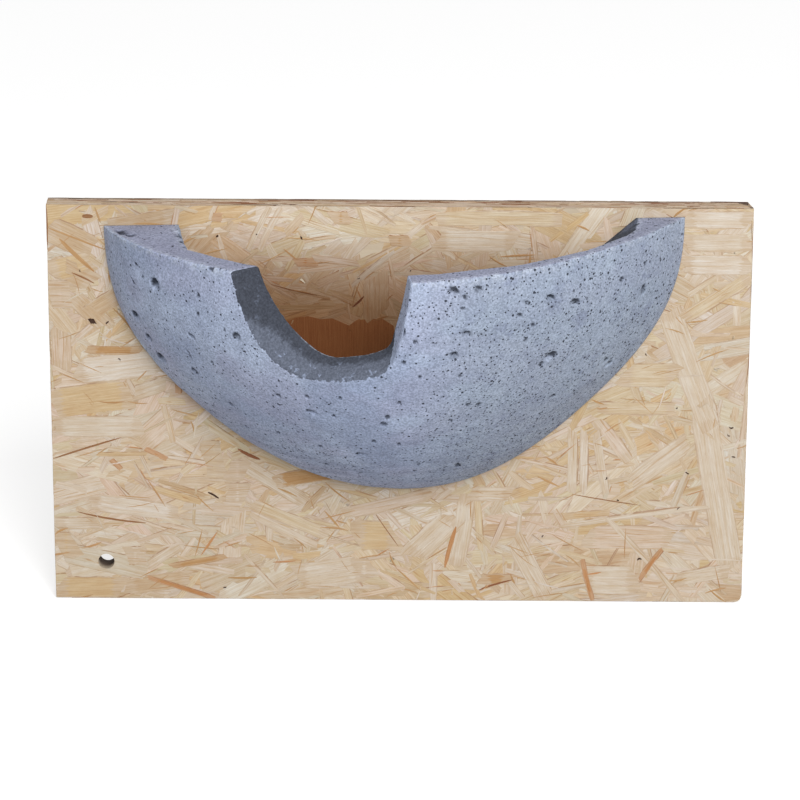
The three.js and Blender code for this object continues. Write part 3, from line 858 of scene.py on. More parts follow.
def cup_fields(grid, foot_rows, inner_row, corners):
    """Values per point of the cup: millimetres past the notch's outer edge, part of the way across the
    notch's face, the rim's top, millimetres from the nearest edge, the hollow and the painted shade at its
    right end."""
    columns, rows = grid.shape[:2]
    row_index = np.broadcast_to(np.arange(rows), (columns, rows))
    in_notch = (np.arange(columns) >= corners[0]) & (np.arange(columns) <= corners[1])
    in_notch = np.broadcast_to(in_notch[:, None], (columns, rows))
    on_top = row_index > inner_row
    hollow = (row_index >= foot_rows.stop) & ~on_top
    steps = np.linalg.norm(np.diff(grid, axis=1, append=grid[:, :1]), axis=2)
    run = np.concatenate([np.zeros((columns, 1)), np.cumsum(steps, axis=1)], axis=1)
    whole = run[:, -1:]
    run = run[:, :-1]
    to_outer = np.minimum(run, whole - run)
    to_inner = np.abs(run - run[:, inner_row : inner_row + 1])
    past_notch = np.where(in_notch, np.where(on_top, to_outer, -to_outer), -20 * MM)
    fields = {
        "cut": np.clip(past_notch / MM, -20, 20),
        "cut_share": np.where(on_top, (rows - row_index) / (rows - inner_row), 0),
        "rim": (on_top & ~in_notch).astype(float),
        "edge_distance": np.minimum(np.minimum(to_outer, to_inner) / MM, 20),
        "hollow": hollow.astype(float),
        "end_shade": hollow * smooth_step(grid[..., 0], *END_PAINTED_SHADE_RANGE),
    }
    return fields, steps.mean(axis=0)


def cup_faces(columns, rows, row_lengths):
    """Triangles between the grid's points, closed round the section, with a flat map of the grid."""
    bake_u = np.linspace(0.005, 0.995, columns)
    bake_v = 0.005 + 0.99 * np.concatenate([[0], np.cumsum(row_lengths)]) / row_lengths.sum()
    s, row = np.meshgrid(np.arange(columns - 1), np.arange(rows), indexing="ij")
    quad = [(s, row), (s, row + 1), (s + 1, row + 1), (s + 1, row)]
    index = np.stack([a * rows + b % rows for a, b in quad], axis=2).reshape(-1, 4)
    uv = np.stack([np.stack([bake_u[a], bake_v[b]], axis=2) for a, b in quad], axis=2).reshape(-1, 4, 2)
    triangles = np.concatenate([index[:, [0, 1, 2]], index[:, [0, 2, 3]]])
    return triangles, np.concatenate([uv[:, [0, 1, 2]], uv[:, [0, 2, 3]]])


def weld(points, triangles, uv, fields):
    """Joins points that lie on each other and drops the faces that this closes."""
    cells = np.round(points / (0.005 * MM)).astype(np.int64)
    _, first, same = np.unique(cells, axis=0, return_index=True, return_inverse=True)
    triangles = same.reshape(-1)[triangles]
    a, b, c = triangles.T
    whole = (a != b) & (b != c) & (c != a)
    fields = {key: values.reshape(-1)[first] for key, values in fields.items()}
    return points[first], triangles[whole], uv[whole], fields


def cup_relief(points, fields, settings):
    """Height of the cup's unevenness along its normals, and the painted shade in its pits and chips: lumps
    and sandy grain from noise, crumbled edges, pits and chips."""
    cut = smooth_step(fields["cut"], -0.5, 0.5)
    rough = (1 - 0.8 * cut) * (1 - 0.5 * fields["rim"])
    relief = settings.lump_height * lattice_noise(points, 17 * MM, 11) * (1 - cut)
    relief += settings.lump_height * 0.5 * lattice_noise(points, 6 * MM, 12) * rough
    relief += settings.grain_height * lattice_noise(points, 2.2 * MM, 13) * rough
    crumble = lattice_noise(points, 3.4 * MM, 14) + 0.6 * lattice_noise(points, 1.5 * MM, 15) - 0.05
    near_edge = smooth_step(-fields["edge_distance"], -2.2, -0.2)
    relief -= settings.crumble_depth * np.clip(crumble, 0, 1) * near_edge
    outside = (fields["hollow"] < 0.5) & (fields["rim"] < 0.5) & (fields["cut"] < -0.8)
    deep, pit = pit_relief(points, outside, settings)
    relief -= deep
    for x, depth, diameter in RIM_CHIPS:
        far = np.linalg.norm(points - np.array([x, depth, 0]) * MM, axis=1) / (diameter / 2 * MM)
        hit = np.sqrt(np.clip(1 - far**2, 0, 1))
        relief -= hit * diameter * 0.3 * MM
        # Painted shade in the chip
        pit = np.maximum(pit, smooth_step(hit, 0.1, 0.7))
    return relief * smooth_step(points[:, 1], 0.2 * MM, 2 * MM), pit


def make_cup(settings):
    """Concrete cup: one closed wall section carried along the rim and the notch from the left end to the
    right, roughened along its normals."""
    grid, foot_rows, inner_row, corners = cup_grid()
    fields, row_lengths = cup_fields(grid, foot_rows, inner_row, corners)
    triangles, uv = cup_faces(*grid.shape[:2], row_lengths)
    points, triangles, uv, fields = weld(grid.reshape(-1, 3), triangles, uv, fields)
    relief, fields["pit"] = cup_relief(points, fields, settings)
    points = points - grid_normals(points, triangles) * relief[:, None]
    material = make_concrete_material(settings)
    piece = new_piece("concrete_cup", cup_to_frame(points), triangles, {"OFBake": uv}, fields, material, True)
    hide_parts("nest_cup")
    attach(piece, "root")
    return piece


def per_flake(values):
    """Values of flakes, shaped to spread over the rows and columns of their grids."""
    return values[:, None, None]


def grid_quads(rows, columns):
    """Quads between the points of a grid, as places in its points row by row."""
    corner = np.arange(rows * columns).reshape(rows, columns)
    corners = [corner[:-1, :-1], corner[1:, :-1], corner[1:, 1:], corner[:-1, 1:]]
    return np.stack(corners, axis=2).reshape(-1, 4)


def face_half_length(face):
    """Half the long side of a board face."""
    return BOARD_HALF_HEIGHT if face in ("left", "right") else BOARD_HALF_WIDTH


def ring_steps(count, inset):
    """Steps from -1 to 1 for each flake, with the first and last space as narrow as its skirt."""
    inner = np.linspace(-1, 1, count - 2) * (1 - inset[:, None])
    ends = np.ones((len(inset), 1))
    return np.concatenate([-ends, inner, ends], axis=1)


def flake_grids(flakes, rows, columns, seed):
    """Grids of many flakes at once, flakes by rows by columns: a straight run along each flake and a width
    that narrows towards its ends by a power of the distance from the middle. The middle line bends as a
    parabola, ends are slanted and torn, sides ripple, and the outer ring is let down as a skirt."""
    random = np.random.default_rng(seed)
    count = len(flakes["x"])
    half_length = per_flake(flakes["length"]) / 2
    half_width = per_flake(flakes["width"]) / 2
    u = ring_steps(rows, np.minimum(FLAKE_SKIRT / (flakes["length"] / 2), 0.4))[:, :, None]
    v = ring_steps(columns, np.minimum(FLAKE_SKIRT / (flakes["width"] / 2), 0.4))[:, None, :]
    point = per_flake(flakes["point"])
    narrow = 1 - point * np.abs(u) ** (2 + 8 * (1 - point))
    ripple_size = per_flake(np.minimum(0.05 * flakes["width"], 0.3 * MM))
    ripple = random.uniform(-1, 1, (count, rows, 2)) * ripple_size
    ripple = np.where(v < 0, ripple[:, :, :1], ripple[:, :, 1:]) * np.abs(v)
    bend = per_flake(flakes["bow"]) * (u**2 - 0.5)
    across = half_width * v * narrow + ripple + bend
    tear_size = per_flake(np.minimum(0.25 * flakes["width"], 1.6 * MM))
    torn = random.uniform(0, 1, (count, 2, columns)) * tear_size
    torn = np.where(u > 0, -torn[:, 1:, :], torn[:, :1, :]) * np.abs(u) ** 10
    along = half_length * u + per_flake(flakes["slant"]) * half_width * v * np.abs(u) + torn
    cosine = np.cos(per_flake(flakes["angle"]))
    sine = np.sin(per_flake(flakes["angle"]))
    x = per_flake(flakes["x"]) + along * cosine - across * sine
    z = per_flake(flakes["z"]) + along * sine + across * cosine
    swell = 0.012 * MM * np.sin(3 * u + per_flake(flakes["phase"])) * np.cos(2 * v)
    height = np.broadcast_to(per_flake(flakes["level"]) + swell, x.shape).copy()
    height[:, [0, -1], :] = -FLAKE_SUNK
    height[:, :, [0, -1]] = -FLAKE_SUNK
    return x, z, height


def holed_grid(flakes, hole, radius, rows, columns):
    """Grids of flakes that lie round a hole: rows run from the hole's circle to an outline that is a
    rounded rectangle, columns run round it, and both edges are let down as skirts."""
    turn = np.linspace(0, 2 * np.pi, columns)[None, None, :]
    half_length = per_flake(flakes["length"]) / 2
    half_width = per_flake(flakes["width"]) / 2
    reach = ((np.abs(np.cos(turn)) / half_length) ** 8 + (np.abs(np.sin(turn)) / half_width) ** 8) ** (-1 / 8)
    part = np.concatenate([[0], np.linspace(0.01, 0.985, rows - 2), [1]])[None, :, None]
    spread = radius + (reach - radius) * part
    angle = per_flake(flakes["angle"])
    x = hole[0] + spread * np.cos(turn + angle)
    z = hole[1] + spread * np.sin(turn + angle)
    height = np.broadcast_to(per_flake(flakes["level"]), x.shape).copy()
    height[:, [0, -1], :] = -FLAKE_SUNK
    return x[:, ::-1], z[:, ::-1], height[:, ::-1]


def keep_on_board(face, x, z):
    """Keeps places of a face on the board: inside its rectangle, its worn corner and its broken corner."""
    long_half = face_half_length(face)
    short_half = BOARD_HALF_HEIGHT if face in ("front", "back") else BOARD_THICKNESS / 2
    side = -1 if face in ("back", "bottom") else 1
    x = np.clip(x, -long_half, long_half)
    z = np.clip(z, -short_half, short_half)
    if face in ("front", "back"):
        centre = np.array([side * (BOARD_HALF_WIDTH - WORN_CORNER), WORN_CORNER - BOARD_HALF_HEIGHT])
        a = np.maximum(side * (x - centre[0]), 0)
        b = np.maximum(centre[1] - z, 0)
        shrink = np.minimum(1, WORN_CORNER / np.maximum(np.hypot(a, b), 1e-9))
        outside = (a > 0) & (b > 0)
        x = np.where(outside, centre[0] + side * a * shrink, x)
        z = np.where(outside, centre[1] - b * shrink, z)
    if face == "back":
        above = np.clip((z - BOARD_HALF_HEIGHT + BROKEN_DOWN) / BROKEN_DOWN, 0, 1)
        x = np.maximum(x, -BOARD_HALF_WIDTH + BROKEN_ACROSS * above)
    if face == "top":
        behind = np.clip((z - BOARD_THICKNESS / 2 + BROKEN_THROUGH) / BROKEN_THROUGH, 0, 1)
        x = np.minimum(x, BOARD_HALF_WIDTH - BROKEN_ACROSS * behind)
    if face == "right":
        behind = np.clip((-z - BOARD_THICKNESS / 2 + BROKEN_THROUGH) / BROKEN_THROUGH, 0, 1)
        x = np.minimum(x, BOARD_HALF_HEIGHT - BROKEN_DOWN * behind)
        x = np.maximum(x, WORN_CORNER - BOARD_HALF_HEIGHT)
    if face == "bottom":
        x = np.maximum(x, WORN_CORNER - BOARD_HALF_WIDTH)
    return x, z


def pick_flakes(flakes, keep):
    """Some of the flakes, by their places in the list or by a mask."""
    return {key: values[keep] for key, values in flakes.items()}


def off_holes(flakes, holes):
    """Which flakes stay clear of every hole (x, z, radius), by their bounding rectangles."""
    clear = np.ones(len(flakes["x"]), bool)
    for x, z, radius in holes:
        a = (x - flakes["x"]) * np.cos(flakes["angle"]) + (z - flakes["z"]) * np.sin(flakes["angle"])
        b = (z - flakes["z"]) * np.cos(flakes["angle"]) - (x - flakes["x"]) * np.sin(flakes["angle"])
        past_end = np.abs(a) - flakes["length"] / 2
        gap_a = np.maximum(past_end - np.abs(flakes["slant"]) * flakes["width"] / 2, 0)
        gap_b = np.maximum(np.abs(b) - flakes["width"] / 2 - np.abs(flakes["bow"]) / 2 - 0.3 * MM, 0)
        clear &= np.hypot(gap_a, gap_b) > radius + 0.2 * MM
    return clear


def shade_table(settings):
    """Colours of the flakes' shades by name, as strong as the wood's level."""
    names = (
        "pale", "white", "straw", "blush", "tan", "tanyellow",
        "honey", "amber", "orange", "redbrown", "brown", "void",
    )
    return {name: np.array(getattr(settings, name)) * settings.level for name in names}


def hollow_painted_shading(x, z):
    """Factors for the wood's colour on the board's front: painted light that makes it a little paler near the
    rim in the cup's hollow, painted shade that makes it brown and dark low in it, and 1 outside it."""
    local_x = x - CUP_PLACE[0] + (z - CUP_PLACE[2]) * math.sin(CUP_TILT)
    local_z = z - CUP_PLACE[2] - (x - CUP_PLACE[0]) * math.sin(CUP_TILT)
    inside = smooth_step(inside_depth(local_x, np.minimum(local_z, 0)), 5 * MM, 40 * MM)
    deep = smooth_step(-local_z, *HOLLOW_SHADE_RANGE) * inside
    painted_light = 1 + HOLLOW_TOP_PAINTED_LIGHT * inside * (1 - deep)
    return painted_light[..., None] * (1 - deep[..., None] * (1 - np.array(HOLLOW_PAINTED_SHADE)))


def random_flakes(count, seed, half_sizes, sizes, leaning, levels, shades, settings):
    """Seeded flakes over a face: sizes are the ranges of length and width, leaning the spread of their
    angles in degrees, levels the range of their heights, shades the names and shares of their colours."""
    random = np.random.default_rng(seed)
    table = shade_table(settings)
    names = list(shades)
    shares = np.array(list(shades.values()), float)
    picked = random.choice(len(names), count, p=shares / shares.sum())
    shade = np.array([table[name] for name in names])[picked]
    shade = shade * random.uniform(0.93, 1.05, (count, 1)) * random.uniform(0.98, 1.02, (count, 3))
    (shortest, longest), (thinnest, widest) = sizes
    stray = random.uniform(0, 1, count) < settings.stray_share
    angle = np.where(stray, random.uniform(-90, 90, count), random.normal(0, 1, count) * leaning)
    if leaning < 10:
        angle = random.normal(0, 1, count) * leaning
    return {
        "x": random.uniform(-1, 1, count) * half_sizes[0],
        "z": random.uniform(-1, 1, count) * half_sizes[1],
        "angle": np.radians(angle),
        "length": random.uniform(shortest, longest, count),
        "width": random.uniform(thinnest, widest, count),
        "level": np.linspace(levels[0], levels[1], count),
        "point": random.uniform(0.1, 0.5, count),
        "bow": random.uniform(-0.6, 0.6, count) * MM,
        "slant": random.uniform(-0.7, 0.7, count),
        "phase": random.uniform(0, 6, count),
        "stripe": random.uniform(0.1, 1, count) * settings.stripe_strength,
        "spacing": random.uniform(0.9, 2.4, count),
        "stain": np.maximum(random.uniform(-1, 1, count), 0) * settings.stain_strength,
        "outline": random.uniform(0, 1, count) * settings.outline_strength,
        "fade": random.uniform(0, 1, count) * settings.fade_strength,
        "shade": shade,
    }


def placed_flakes(levels, settings):
    """The flakes named one by one, the largest lowest."""
    random = np.random.default_rng(settings.flake_seed + 7)
    table = shade_table(settings)
    rows = np.array([row[1:] for row in PLACED_FLAKES], float) * MM
    shade = np.array([table[row[0]] for row in PLACED_FLAKES])
    domed = np.array([row[0] == "amber" for row in PLACED_FLAKES])
    run = rows[:, 2:4] - rows[:, 0:2]
    length = np.hypot(run[:, 0], run[:, 1])
    order = np.argsort(-length * rows[:, 4])
    rows, run, length, shade, domed = rows[order], run[order], length[order], shade[order], domed[order]
    count = len(rows)
    thin = rows[:, 4] < THIN_FLAKE
    dark = shade.max(axis=1) < 0.2 * settings.level
    fade = settings.fade_strength * np.clip(rows[:, 4] / WHOLE_FADE_WIDTH, 0, 1)
    thin_point = random.uniform(0.75, 0.9, count)
    broad_point = random.uniform(0.1, 0.35, count)
    return {
        "x": (rows[:, 0] + rows[:, 2]) / 2,
        "z": (rows[:, 1] + rows[:, 3]) / 2,
        "angle": np.arctan2(run[:, 1], run[:, 0]),
        "length": length,
        "width": rows[:, 4],
        "level": np.linspace(levels[0], levels[1], count),
        "point": np.select([thin, domed], [thin_point, np.full(count, DOME_POINT)], broad_point),
        "bow": random.uniform(-0.03, 0.03, count) * length,
        "slant": np.where(thin | domed, 0, random.uniform(-0.6, 0.6, count)),
        "phase": random.uniform(0, 6, count),
        "stripe": np.where(dark, 0, random.uniform(0.2, 1, count) * settings.stripe_strength),
        "spacing": random.uniform(0.9, 2.4, count),
        "stain": np.zeros(count),
        "outline": np.where(thin, 0, random.uniform(0.3, 1, count) * settings.outline_strength),
        "fade": np.where(thin | domed | dark, 0, fade),
        "shade": shade,
    }


def holed_flakes(count, seed, levels, settings):
    """Flakes to lie round a hole, in a few turns and sizes."""
    sizes = ((26 * MM, 46 * MM), (10 * MM, 15 * MM))
    shades = {"pale": 2, "straw": 2, "blush": 1}
    return random_flakes(count, seed, (0, 0), sizes, 20, levels, shades, settings)


def flake_arrays(face, flakes, grids, seed, settings):
    """Points, quads and per-point values of flakes on a board face, in the order of the flakes."""
    x, z, height = grids
    count, rows, columns = x.shape
    x, z = keep_on_board(face, x, z)
    middle, along, across = (np.array(part, float) for part in BOARD_FACES[face])
    out = np.cross(along, across)
    points = middle + x[..., None] * along + z[..., None] * across + height[..., None] * out
    a = (x - per_flake(flakes["x"])) * np.cos(per_flake(flakes["angle"]))
    a = a + (z - per_flake(flakes["z"])) * np.sin(per_flake(flakes["angle"]))
    b = (z - per_flake(flakes["z"])) * np.cos(per_flake(flakes["angle"]))
    b = b - (x - per_flake(flakes["x"])) * np.sin(per_flake(flakes["angle"]))
    shift = np.random.default_rng(seed).uniform(-900, 900, (count, 1, 1, 2))
    grain = np.stack([a, b], axis=3) / MM + shift
    to_end = np.maximum(per_flake(flakes["length"]) / 2 - np.abs(a), 0) / MM
    to_side = np.maximum(per_flake(flakes["width"]) / 2 - np.abs(b), 0) / MM
    border = np.stack([to_end, to_side], axis=3)
    long_half = face_half_length(face)
    flat = np.stack([x, z], axis=3) / (2 * long_half)
    kept = ("stripe", "spacing", "stain", "outline", "fade")
    values = {key: np.repeat(flakes[key], rows * columns) for key in kept}
    values["side"] = (b / per_flake(flakes["width"])).reshape(-1)
    # Painted shade and painted light of the cup's hollow, on the front face only
    tint = hollow_painted_shading(x, z) if face == "front" else np.ones((*x.shape, 3))
    ground = np.array(settings.ground) * settings.level
    values["shade"] = (per_flake(flakes["shade"]) * tint).reshape(-1, 3)
    values["ground"] = (ground * tint).reshape(-1, 3)
    starts = per_flake(np.arange(count)) * rows * columns
    quads = (starts + grid_quads(rows, columns)[None]).reshape(-1, 4)
    points = points.reshape(-1, 3)
    diagonals = points[quads[:, [2, 3]]] - points[quads[:, [0, 1]]]
    area = np.linalg.norm(np.cross(diagonals[:, 0], diagonals[:, 1]), axis=1) / 2
    quads = quads[area > 1e-4 * MM * MM]
    return {"points": points, "quads": quads, "values": values, "maps": {
        "Grain": grain.reshape(-1, 2), "Border": border.reshape(-1, 2), "flat": flat.reshape(-1, 2)}}


def join_arrays(parts):
    """One set of flake arrays out of several, the later ones on top."""
    starts = np.cumsum([0] + [len(part["points"]) for part in parts[:-1]])
    joined = {
        "points": np.concatenate([part["points"] for part in parts]),
        "quads": np.concatenate([part["quads"] + start for part, start in zip(parts, starts)]),
    }
    for group in ("values", "maps"):
        keys = parts[0][group]
        joined[group] = {key: np.concatenate([part[group][key] for part in parts]) for key in keys}
    return joined


def strand_piece(name, arrays, material):
    """Object of flakes on the board, with its maps read per corner."""
    quads = arrays["quads"]
    maps = {
        "Grain": arrays["maps"]["Grain"][quads],
        "Border": arrays["maps"]["Border"][quads],
        "OFBake": arrays["maps"]["flat"][quads],
    }
    piece = new_piece(name, arrays["points"], quads, maps, arrays["values"], material, False)
    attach(piece, "root")
    return piece


def plain_flakes(flakes, point):
    """Flakes without grain lines, stains, outlines and torn borders, narrowed to points."""
    for key in ("stripe", "stain", "outline", "fade"):
        flakes[key][:] = 0
    flakes["point"][:] = point
    return flakes


def border_lines(flakes, count, seed, levels, settings):
    """Thin dark lines that run along one long side of some flakes."""
    random = np.random.default_rng(seed)
    table = shade_table(settings)
    lines = pick_flakes(flakes, random.choice(len(flakes["x"]), count, replace=False))
    side = random.choice((-0.5, 0.5), count) * lines["width"]
    shift = random.uniform(-0.2, 0.2, count) * lines["length"]
    lines["x"] += shift * np.cos(lines["angle"]) - side * np.sin(lines["angle"])
    lines["z"] += shift * np.sin(lines["angle"]) + side * np.cos(lines["angle"])
    lines["length"] *= random.uniform(0.2, 0.55, count)
    lines["width"] = random.uniform(0.25, 0.6, count) * MM
    lines["bow"] *= 0.3
    lines["slant"][:] = 0
    lines["level"] = np.linspace(*levels, count)
    names = random.choice(("honey", "honey", "honey", "honey", "orange"), count)
    lines["shade"] = np.array([table[name] for name in names])
    return plain_flakes(lines, 0.85)


def face_arrays(face, holes, seed, extra, settings):
    """Flakes of a large face from the bottom up: broad seeded flakes, narrow strands, flakes round the
    holes, the flakes named one by one, then thin slivers, dark lines and small gaps that are flakes of
    painted shade."""
    halves = (BOARD_HALF_WIDTH, BOARD_HALF_HEIGHT)
    top = settings.relief
    shades = {"pale": 34, "straw": 26, "blush": 18, "white": 8, "tanyellow": 8, "tan": 6}
    sizes = ((20 * MM, 60 * MM), (5 * MM, 13 * MM))
    levels = (0.1 * top, 0.4 * top)
    broad = random_flakes(settings.flake_count, seed, halves, sizes, 26, levels, shades, settings)
    sizes = ((7 * MM, 28 * MM), (1.2 * MM, 4 * MM))
    levels = (0.4 * top, 0.6 * top)
    narrow = random_flakes(settings.strand_count, seed + 11, halves, sizes, 34, levels, shades, settings)
    narrow["fade"] *= 0.7
    shades = {"honey": 72, "orange": 8, "white": 20}
    sizes = ((4 * MM, 16 * MM), (0.4 * MM, 1.1 * MM))
    levels = (0.85 * top, 0.9 * top)
    thin = random_flakes(settings.sliver_count, seed + 5, halves, sizes, 30, levels, shades, settings)
    lines = border_lines(narrow, settings.line_count, seed + 12, (0.9 * top, 0.95 * top), settings)
    # Small gaps: flakes that carry the painted shade of a gap
    sizes = ((0.7 * MM, 2.2 * MM), (0.4 * MM, 0.9 * MM))
    levels = (0.95 * top, top)
    gaps = random_flakes(settings.gap_count, seed + 8, halves, sizes, 40, levels, {"void": 1}, settings)
    ringed = []
    for k, (x, z, radius) in enumerate(holes):
        round_hole = holed_flakes(3, seed + 20 + k, (0.5 * top, 0.7 * top), settings)
        round_hole["x"] = np.full(3, x)
        round_hole["z"] = np.full(3, z)
        grids = holed_grid(round_hole, (x, z), radius, 7, 49)
        ringed.append(flake_arrays(face, round_hole, grids, seed + 30 + k, settings))
    layers = [(broad, 8, 5), (narrow, 6, 5)]
    if extra is not None:
        layers.append((extra, 11, 6))
    layers += [(plain_flakes(thin, 0.85), 6, 5), (lines, 6, 5), (plain_flakes(gaps, 0.6), 6, 5)]
    parts = []
    for k, (flakes, rows, columns) in enumerate(layers):
        spared = holes if extra is None or k < 3 else (*holes, *SMOOTH_SPOTS)
        flakes = pick_flakes(flakes, off_holes(flakes, spared))
        grids = flake_grids(flakes, rows, columns, seed + 50 + k)
        parts.append(flake_arrays(face, flakes, grids, seed + 60 + k, settings))
    return join_arrays(parts[:2] + ringed + parts[2:])


def edge_arrays(settings):
    """Thin cut ends of strands along the four narrow edges of the board, laid out one face under the
    other on one map."""
    parts = []
    top = settings.relief * 0.5
    shades = {"blush": 46, "tan": 14, "brown": 14, "redbrown": 8, "pale": 16, "void": 2}
    for k, face in enumerate(("top", "bottom", "left", "right")):
        long_half = face_half_length(face)
        count = int(settings.edge_count * long_half / BOARD_HALF_WIDTH)
        halves = (long_half, BOARD_THICKNESS / 2)
        sizes = ((4 * MM, 26 * MM), (0.4 * MM, 1.3 * MM))
        seed = settings.edge_seed + 40 * k
        ends = random_flakes(count, seed, halves, sizes, 1.5, (0.1 * top, top), shades, settings)
        ends["bow"] *= 0.4
        ends["fade"][:] = 0
        ends["stain"][:] = 0
        if face == "top":
            ends["shade"] *= 1 - 0.45 * smooth_step(ends["z"], 2.5 * MM, 4 * MM)[:, None]
            ends["shade"][-len(CORNER_MARKS) :] = shade_table(settings)["void"]
            for key, values in zip(("x", "z", "length", "width"), np.array(CORNER_MARKS).T * MM):
                ends[key][-len(CORNER_MARKS) :] = values
        arrays = flake_arrays(face, ends, flake_grids(ends, 7, 5, seed + 1), seed + 2, settings)
        arrays["maps"]["flat"] = arrays["maps"]["flat"] * 0.94 + np.array([0.5, 0.14 + 0.24 * k])
        parts.append(arrays)
    return join_arrays(parts)


def make_face_strands(settings):
    """Flakes on the board's front and back faces."""
    material = make_strand_material(settings)
    placed = placed_flakes((0.62 * settings.relief, 0.85 * settings.relief), settings)
    front_holes = ((*WALL_HOLE, WALL_HOLE_RADIUS),)
    front = face_arrays("front", front_holes, settings.flake_seed, placed, settings)
    back_holes = [(-WALL_HOLE[0], WALL_HOLE[1], WALL_HOLE_RADIUS)]
    back_holes += [(-x, z, SCREW_POCKET_RADIUS) for x, z in SCREW_PLACES]
    back = face_arrays("back", back_holes, settings.flake_seed + 100, None, settings)
    for name, arrays in (("front_strands", front), ("back_strands", back)):
        arrays["maps"]["flat"] = arrays["maps"]["flat"] * 0.98 + 0.5
        strand_piece(name, arrays, material)
    return material


def colour_setting(name, description, *display):
    """Colour property, its default given in display values of 0 to 255."""
    return bpy.props.FloatVectorProperty(
        name=name, description=description, default=srgb(*display), subtype="COLOR")


def factor_setting(name, description, default):
    """Property for a share or a strength."""
    return bpy.props.FloatProperty(name=name, description=description, default=default, subtype="FACTOR")


def count_setting(name, description, default):
    """Property for a number of pieces, at least one."""
    return bpy.props.IntProperty(name=name, description=description, default=default, min=1)


def seed_setting(name, description, default):
    """Property for the seed of random draws."""
    return bpy.props.IntProperty(name=name, description=description, default=default)


def length_setting(name, description, default):
    """Property for a length in metres."""
    return bpy.props.FloatProperty(
        name=name, description=description, default=default, unit="LENGTH", subtype="DISTANCE")


def angle_setting(name, description, degrees):
    """Property for an angle, its default given in degrees."""
    return bpy.props.FloatProperty(
        name=name, description=description, default=math.radians(degrees), subtype="ANGLE", unit="ROTATION")


def place_setting(name, description, default):
    """Property for a point in metres."""
    return bpy.props.FloatVectorProperty(
        name=name, description=description, default=default, unit="LENGTH", subtype="XYZ")


class NestBoardSettings(bpy.types.PropertyGroup):
    flake_count: count_setting("Flakes", "Broad flakes on each face", 900)
    strand_count: count_setting("Strands", "Narrow strands on each face", 650)
    sliver_count: count_setting("Slivers", "Thin slivers on each face", 170)
    line_count: count_setting("Border lines", "Dark lines along strands on each face", 170)
    gap_count: count_setting("Gaps", "Small dark gaps on each face", 30)
    edge_count: count_setting("Edge strands", "Cut strand ends along a long edge", 800)
    flake_seed: seed_setting("Flake seed", "Seed of the flakes' places", 31)
    edge_seed: seed_setting("Edge seed", "Seed of the cut strand ends", 500)
    relief: length_setting("Relief", "Height of the topmost flakes over the board's face", 0.26 * MM)
    stray_share: factor_setting("Stray flakes", "Share of flakes at any angle", 0.35)
    level: factor_setting("Level", "Factor for all wood colours", 0.84)
    fade_strength: factor_setting("Torn borders", "Strength of torn flake borders", 0.8)
    stripe_strength: factor_setting("Stripes", "Strength of late-wood lines", 0.75)
    stain_strength: factor_setting("Stains", "Strength of resin stains", 0.8)
    # Dark flake edges: partly the wood's own, partly painted shadow
    outline_strength: factor_setting("Outlines", "Strength of dark flake edges", 0.7)
    streak_strength: factor_setting("Streaks", "Strength of broad streaks", 0.75)
    fibre_strength: factor_setting("Fibres", "Strength of the fine fibres", 0.7)
    dash_strength: factor_setting("Dashes", "Strength of short dark dashes", 0.3)
    blotch_strength: factor_setting("Blotches", "Strength of uneven tone", 0.2)
    streak_tone: colour_setting("Streak tone", "Factor for the streaks", 245, 237, 224)
    stain_tone: colour_setting("Stain tone", "Factor for resin stains", 228, 184, 134)
    fibre_tone: colour_setting("Fibre tone", "Factor for the fibres", 235, 225, 211)
    line_tone: colour_setting("Line tone", "Factor for late-wood lines", 228, 200, 164)
    # Dashes, and the flake edges' lines that are partly painted shadow
    dash_tone: colour_setting("Dash tone", "Factor for dashes and flake edges", 186, 142, 102)
    ground: colour_setting("Ground", "Tone of torn flake borders", 212, 196, 176)
    pale: colour_setting("Pale", "Pale sapwood", 221, 211, 197)
    white: colour_setting("White", "Whitest flakes", 225, 217, 207)
    straw: colour_setting("Straw", "Straw yellow flakes", 218, 204, 180)
    blush: colour_setting("Blush", "Pinkish flakes", 220, 205, 190)
    tan: colour_setting("Tan", "Tan flakes", 208, 187, 160)
    tanyellow: colour_setting("Tan yellow", "Deeper yellow flakes", 215, 193, 158)
    honey: colour_setting("Honey", "Late wood and resin", 198, 162, 118)
    amber: colour_setting("Amber", "Smooth resinous flakes", 190, 142, 96)
    orange: colour_setting("Orange", "Resinous strands", 200, 152, 108)
    redbrown: colour_setting("Red brown", "Bark and knots", 148, 99, 70)
    brown: colour_setting("Brown", "Dark strands", 160, 120, 86)
    # Painted shade of gaps and holes between flakes, also on the wall hole's side
    void: colour_setting("Gap", "Deep gaps between flakes", 74, 53, 42)


